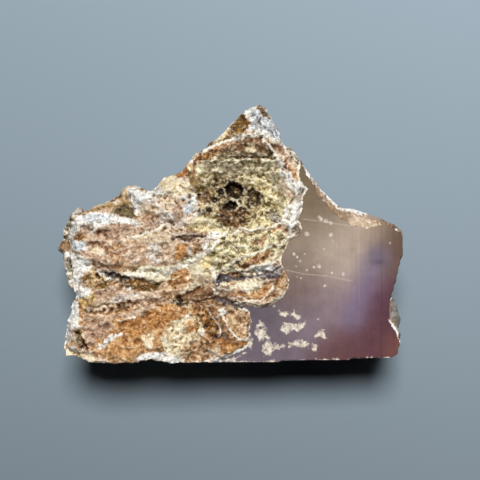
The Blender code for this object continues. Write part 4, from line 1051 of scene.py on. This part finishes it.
on_front = smooth_step(*FRONT_WALL, -facing[:, 1])
clear_depth = WALL_DEPTH[0] + WALL_DEPTH[1] * rough(spots, WALL_DEPTH[2]) + on_front * SAWN_DEPTH
rind_by = np.maximum(inside_by(spots[:, :2], on_face(RIND)), inward - clear_depth)
for _, outline in SKIN.values():
    rind_by = np.maximum(rind_by, inside_by(spots[:, :2], on_face(outline)))
chips = CHIP_WIDTH - from_line(spots[:, :2], on_face(CHIPPED_FRONT))
pale_by = np.minimum(np.maximum(in_cream(spots[:, :2]), chips), MARKS_DEPTH - inward)
speck_by = np.minimum(in_speck(spots[:, :2]), MARKS_DEPTH - inward)
crack_by = -from_lines(spots[:, :2], HEALED_CRACKS)


def keep_on_stone(name, values):
    """Stores a number or a tint for every vertex, under a name that the material reads."""
    if values.ndim == 2:
        held = stone.data.attributes.new(name, "FLOAT_COLOR", "POINT")
        opaque = np.column_stack((values, np.ones(len(values))))
        held.data.foreach_set("color", opaque.astype(np.float32).ravel())
    else:
        held = stone.data.attributes.new(name, "FLOAT", "POINT")
        held.data.foreach_set("value", values.astype(np.float32))


keep_on_stone("rind_tint", to_linear(rind_tint))
keep_on_stone("sawn_tint", to_linear(sawn_tint))
keep_on_stone("rind_finish", rind_finish)
borders = {"rind_by": rind_by, "pale_by": pale_by, "speck_by": speck_by, "crack_by": crack_by}
for name, values in borders.items():
    keep_on_stone(name, MILLIMETRES * values)

# Stone. One material reads those tints and borders, in millimetres, and adds the grain that is finer than
# the mesh: salt and pepper on the rind, and clouds, streaks and saw lines on the sawn side.

# Each noise: its waves a metre, and its detail and roughness where they aren't the usual ones
SALT_GRAIN = (1500.0, 4.0, 0.7)
CLUMP_GRAIN = (420.0, 3.0)
PEPPER_SCALE = 1100.0
# Each range: from low and high, to low and high
SALT_SHADES = (0.32, 0.68, 0.76, 1.34)
PEPPER_GRAINS = (0.16, 0.30, 1.0, 0.0)
PEPPER_CLUMPS = (0.48, 0.62, 0.0, 0.60)
SALT_GRAINS = (0.60, 0.66, 0.0, 1.0)
SALT_CLUMPS = (0.54, 0.44, 0.0, 0.65)
PEPPER_TINT = (52, 34, 22)
SALT_TINT = (255, 252, 244)
RIND_BUMP = 0.00022


def add_node(tree, kind, inputs=None, **settings):
    """A node with its settings, and each input set or linked."""
    made = tree.nodes.new(kind)
    for name, value in settings.items():
        setattr(made, name, value)
    for name, value in (inputs or {}).items():
        if isinstance(value, bpy.types.NodeSocket):
            tree.links.new(value, made.inputs[name])
        else:
            made.inputs[name].default_value = value
    return made


def noise_at(tree, place, scale, detail=3.0, roughness=0.6):
    """Noise of that many waves a metre, around 0.5."""
    return add_node(tree, "ShaderNodeTexNoise", {
        "Vector": place, "Scale": scale, "Detail": detail, "Roughness": roughness,
    }).outputs["Fac"]


def ranged(tree, value, low, high, to_low=0.0, to_high=1.0):
    """Turns a range of values evenly into another one, and stops at its ends."""
    return add_node(tree, "ShaderNodeMapRange", {
        "Value": value, "From Min": low, "From Max": high, "To Min": to_low, "To Max": to_high,
    }).outputs["Result"]


def sum_of(tree, first, second):
    """One value added to another."""
    return add_node(tree, "ShaderNodeMath", {0: first, 1: second}, operation="ADD").outputs[0]


def product(tree, first, second):
    """One value times another."""
    return add_node(tree, "ShaderNodeMath", {0: first, 1: second}, operation="MULTIPLY").outputs[0]


def blend_colours(tree, share, under, over, kind="MIX"):
    """A share of one colour blended over another."""
    return add_node(tree, "ShaderNodeMix", {0: share, 6: under, 7: over}, data_type="RGBA",
                    blend_type=kind).outputs[2]


def blend_values(tree, share, under, over):
    """A share of one value blended over another."""
    return add_node(tree, "ShaderNodeMix", {0: share, 2: under, 3: over}).outputs[0]


def stored(tree, name, kind):
    """What the stone's vertices keep under that name."""
    return add_node(tree, "ShaderNodeAttribute", attribute_name=name).outputs[kind]


def linear(red, green, blue):
    """A display colour as the shader's own."""
    return (*to_linear(np.array((red, green, blue))), 1.0)


def surface_group(name):
    """An empty node group that gives a colour, a roughness and a height in metres."""
    group = bpy.data.node_groups.new(name, "ShaderNodeTree")
    for label, kind in (("Color", "NodeSocketColor"), ("Roughness", "NodeSocketFloat"),
                        ("Height", "NodeSocketFloat")):
        group.interface.new_socket(label, in_out="OUTPUT", socket_type=kind)
    return group, add_node(group, "ShaderNodeTexCoord").outputs["Object"]


def group_result(group, color, roughness, height):
    """Ends a group with what it gives."""
    add_node(group, "NodeGroupOutput", {"Color": color, "Roughness": roughness, "Height": height})


rind_look, place = surface_group("rind_look")
salt = noise_at(rind_look, place, *SALT_GRAIN)
pepper = add_node(rind_look, "ShaderNodeTexVoronoi", {"Vector": place, "Scale": PEPPER_SCALE})
clumps = noise_at(rind_look, place, *CLUMP_GRAIN)
colour = stored(rind_look, "rind_tint", "Color")
colour = blend_colours(rind_look, 1.0, colour, ranged(rind_look, salt, *SALT_SHADES), "MULTIPLY")
pepper_share = product(rind_look, ranged(rind_look, pepper.outputs["Distance"], *PEPPER_GRAINS),
                       ranged(rind_look, clumps, *PEPPER_CLUMPS))
colour = blend_colours(rind_look, pepper_share, colour, linear(*PEPPER_TINT))
salt_share = product(rind_look, ranged(rind_look, salt, *SALT_GRAINS),
                     ranged(rind_look, clumps, *SALT_CLUMPS))
colour = blend_colours(rind_look, salt_share, colour, linear(*SALT_TINT))
rind_height = product(rind_look, salt, RIND_BUMP)
group_result(rind_look, colour, stored(rind_look, "rind_finish", "Fac"), rind_height)

# The pixel that each saw line runs through, and how much darker or paler it is
SAW_LINES = ((381.5, 0.88), (359.0, 1.08), (371.0, 0.95), (394.0, 0.92))
SAW_LINE_WIDTH = (0.0001, 0.0004)
ALONG_SAW = (1.0, 0.04, 0.04)
CLOUD_GRAIN = (260.0, 4.0)
FINE_GRAIN = (2200.0, 3.0)
STREAK_GRAIN = (1400.0, 2.0)
FRAY_GRAIN = (1300.0, 3.0, 0.7)
GAP_GRAIN = (480.0, 2.0)
MOTTLE_GRAIN = (900.0, 4.0, 0.7)
# The part of a noise's range that is used, and what each noise makes of it
NOISE_RANGE = (0.3, 0.7)
CLOUD_SHADES = (-0.11, 0.11)
FINE_SHADES = (-0.05, 0.05)
STREAK_SHADES = (0.96, 1.04)
FRAY_REACH = (-0.35, 0.25)
GAP_REACH = (-0.75, 0.65)
SPECK_FRAY = (-0.12, 0.12)
CRACK_SHARE = (-0.30, -0.05, 0.0, 0.40)
PATCH_SHARE = (-0.25, 0.35, 0.0, 0.90)
SPECK_SHARE = (-0.18, 0.22, 0.0, 0.80)
MOTTLE_SHARE = (0.40, 0.60)
CRACK_TINT = (214, 192, 174)
CREAM_TINT = (248, 238, 220)
CREAM_MOTTLE = (188, 170, 152)
SAWN_ROUGHNESS = 0.42
CREAM_ROUGHNESS = 0.75
SAWN_BUMP = 0.00001

sawn_look, place = surface_group("sawn_look")
in_face = add_node(sawn_look, "ShaderNodeMapping", {
    "Vector": place, "Location": tuple(FACE_MIDDLE), "Rotation": (FACE_LEAN, 0.0, 0.0),
}, vector_type="TEXTURE").outputs[0]
along_saw = add_node(sawn_look, "ShaderNodeVectorMath", {0: in_face, 1: ALONG_SAW},
                     operation="MULTIPLY").outputs[0]
clouds = noise_at(sawn_look, place, *CLOUD_GRAIN)
fine = noise_at(sawn_look, place, *FINE_GRAIN)
streaks = noise_at(sawn_look, along_saw, *STREAK_GRAIN)
colour = stored(sawn_look, "sawn_tint", "Color")
level = sum_of(sawn_look, ranged(sawn_look, clouds, *NOISE_RANGE, *CLOUD_SHADES),
               ranged(sawn_look, fine, *NOISE_RANGE, *FINE_SHADES))
level = sum_of(sawn_look, level, ranged(sawn_look, streaks, *NOISE_RANGE, *STREAK_SHADES))
colour = blend_colours(sawn_look, 1.0, colour, level, "MULTIPLY")
across = add_node(sawn_look, "ShaderNodeSeparateXYZ", {0: in_face}).outputs["X"]
for pixel, level in SAW_LINES:
    past = add_node(sawn_look, "ShaderNodeMath", {0: across, 1: on_face((pixel, 0))[0]}, operation="SUBTRACT")
    off = add_node(sawn_look, "ShaderNodeMath", {0: past.outputs[0]}, operation="ABSOLUTE").outputs[0]
    shade = ranged(sawn_look, off, *SAW_LINE_WIDTH, level, 1.0)
    colour = blend_colours(sawn_look, 1.0, colour, shade, "MULTIPLY")
crack_share = ranged(sawn_look, stored(sawn_look, "crack_by", "Fac"), *CRACK_SHARE)
colour = blend_colours(sawn_look, crack_share, colour, linear(*CRACK_TINT))
fray = ranged(sawn_look, noise_at(sawn_look, place, *FRAY_GRAIN), *NOISE_RANGE, *FRAY_REACH)
gaps = ranged(sawn_look, noise_at(sawn_look, place, *GAP_GRAIN), *NOISE_RANGE, *GAP_REACH)
ragged = sum_of(sawn_look, sum_of(sawn_look, stored(sawn_look, "pale_by", "Fac"), fray), gaps)
speck = sum_of(sawn_look, stored(sawn_look, "speck_by", "Fac"),
               ranged(sawn_look, fine, *NOISE_RANGE, *SPECK_FRAY))
pale_share = add_node(sawn_look, "ShaderNodeMath", {
    0: ranged(sawn_look, ragged, *PATCH_SHARE), 1: ranged(sawn_look, speck, *SPECK_SHARE),
}, operation="MAXIMUM").outputs[0]
mottle = ranged(sawn_look, noise_at(sawn_look, place, *MOTTLE_GRAIN), *MOTTLE_SHARE)
pale = blend_colours(sawn_look, mottle, linear(*CREAM_TINT), linear(*CREAM_MOTTLE))
colour = blend_colours(sawn_look, pale_share, colour, pale)
group_result(sawn_look, colour, blend_values(sawn_look, pale_share, SAWN_ROUGHNESS, CREAM_ROUGHNESS),
             product(sawn_look, fine, SAWN_BUMP))

BORDER_GRAIN = (900.0, 4.0, 0.7)
BORDER_FRAY = (-0.35, 0.35)
BORDER_WIDTH = (-0.06, 0.06)
STONE_GLINT = 0.15
SHARP_EDGE = math.radians(75)

stone_look = bpy.data.materials.new("chalcedony_and_rind")
stone_look.use_nodes = True
tree = stone_look.node_tree
tree.nodes.clear()
place = add_node(tree, "ShaderNodeTexCoord").outputs["Object"]
rind_side = add_node(tree, "ShaderNodeGroup", node_tree=rind_look)
sawn_side = add_node(tree, "ShaderNodeGroup", node_tree=sawn_look)
border = sum_of(tree, stored(tree, "rind_by", "Fac"),
                ranged(tree, noise_at(tree, place, *BORDER_GRAIN), *NOISE_RANGE, *BORDER_FRAY))
is_rind = ranged(tree, border, *BORDER_WIDTH)
shader = add_node(tree, "ShaderNodeBsdfPrincipled", {
    "Base Color": blend_colours(tree, is_rind, sawn_side.outputs["Color"], rind_side.outputs["Color"]),
    "Roughness": blend_values(tree, is_rind, sawn_side.outputs["Roughness"], rind_side.outputs["Roughness"]),
    "Specular IOR Level": STONE_GLINT,
})
bump = add_node(tree, "ShaderNodeBump", {
    "Strength": 1.0, "Distance": 1.0,
    "Height": blend_values(tree, is_rind, sawn_side.outputs["Height"], rind_side.outputs["Height"]),
}).outputs["Normal"]
tree.links.new(bump, shader.inputs["Normal"])
add_node(tree, "ShaderNodeOutputMaterial", {"Surface": shader.outputs["BSDF"]})
stone.data.materials.clear()
stone.data.materials.append(stone_look)
for polygon in stone.data.polygons:
    polygon.use_smooth = True
stone.data.set_sharp_from_angle(angle=SHARP_EDGE)
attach(stone, "root")
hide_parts("chalcedony")

# The set. The stone lies on a pale blue-grey floor, painted darker towards the front and the left as painted
# light falloff, under a wide soft light from nearly overhead. The camera looks straight down on the sawn
# face.

FLOOR_SIZE = 3.0
FLOOR_BACK = (150, 166, 177)
FLOOR_FRONT = (112, 123, 131)
FLOOR_LIGHT_FALLOFF = (-0.11, 0.10)
FLOOR_LIGHT_ACROSS = (-0.08, 0.08, 0.93, 1.07)
FLOOR_ROUGHNESS = 0.9
FLOOR_GLINT = 0.1
LIGHT_FROM = Vector((0.01, 0.285, 0.955))
LIGHT_POWER = 3.7
LIGHT_WIDTH = math.radians(22)
ROOM_TINT = (0.78, 0.86, 1.0)
ROOM_LIGHT = 0.008
ROOM_SEEN = 0.55
LENS = 100.0
SENSOR = 36.0
PICTURE_WIDTH = 480
PICTURE_MIDDLE = (240, 240)

floor_mesh = bpy.data.meshes.new("floor")
half = FLOOR_SIZE / 2
corners = [(-half, -half, 0), (half, -half, 0), (half, half, 0), (-half, half, 0)]
floor_mesh.from_pydata(corners, [], [(0, 1, 2, 3)])
floor = bpy.data.objects.new("floor", floor_mesh)
bpy.context.scene.collection.objects.link(floor)
floor_look = bpy.data.materials.new("floor_paper")
floor_look.use_nodes = True
tree = floor_look.node_tree
spot = add_node(tree, "ShaderNodeSeparateXYZ", {0: add_node(tree, "ShaderNodeTexCoord").outputs["Object"]})
# Painted light falloff: the floor's colour darkens towards the front and towards the left.
light_falloff = ranged(tree, spot.outputs["Y"], *FLOOR_LIGHT_FALLOFF)
paper = tree.nodes["Principled BSDF"]
shade = blend_colours(tree, light_falloff, linear(*FLOOR_FRONT), linear(*FLOOR_BACK))
shade = blend_colours(tree, 1.0, shade, ranged(tree, spot.outputs["X"], *FLOOR_LIGHT_ACROSS), "MULTIPLY")
tree.links.new(shade, paper.inputs["Base Color"])
paper.inputs["Roughness"].default_value = FLOOR_ROUGHNESS
paper.inputs["Specular IOR Level"].default_value = FLOOR_GLINT
floor_mesh.materials.append(floor_look)

sun = bpy.data.objects.new("overhead", bpy.data.lights.new("overhead", "SUN"))
sun.data.energy = LIGHT_POWER
sun.data.angle = LIGHT_WIDTH
sun.rotation_euler = LIGHT_FROM.to_track_quat("Z", "Y").to_euler()
bpy.context.scene.collection.objects.link(sun)

world = bpy.data.worlds.new("room")
bpy.context.scene.world = world
world.use_nodes = True
tree = world.node_tree
tree.nodes.clear()
seen = add_node(tree, "ShaderNodeLightPath").outputs["Is Camera Ray"]
strength = blend_values(tree, seen, ROOM_LIGHT, ROOM_SEEN)
room = add_node(tree, "ShaderNodeBackground", {"Color": (*ROOM_TINT, 1.0), "Strength": strength})
add_node(tree, "ShaderNodeOutputWorld", {"Surface": room.outputs[0]})

camera = bpy.data.objects.new("camera", bpy.data.cameras.new("camera"))
camera.data.lens = LENS
camera.data.sensor_width = SENSOR
away = lean.to_3x3() @ Vector((0.0, 0.0, 1.0))
aimed_at = lean @ Vector((*on_face(PICTURE_MIDDLE), 0.0))
camera.location = aimed_at + away * LENS * PICTURE_WIDTH * PIXEL / SENSOR
camera.rotation_euler = (FACE_LEAN, 0.0, 0.0)
bpy.context.scene.collection.objects.link(camera)
bpy.context.scene.camera = camera
bpy.context.scene.view_settings.view_transform = "Standard"
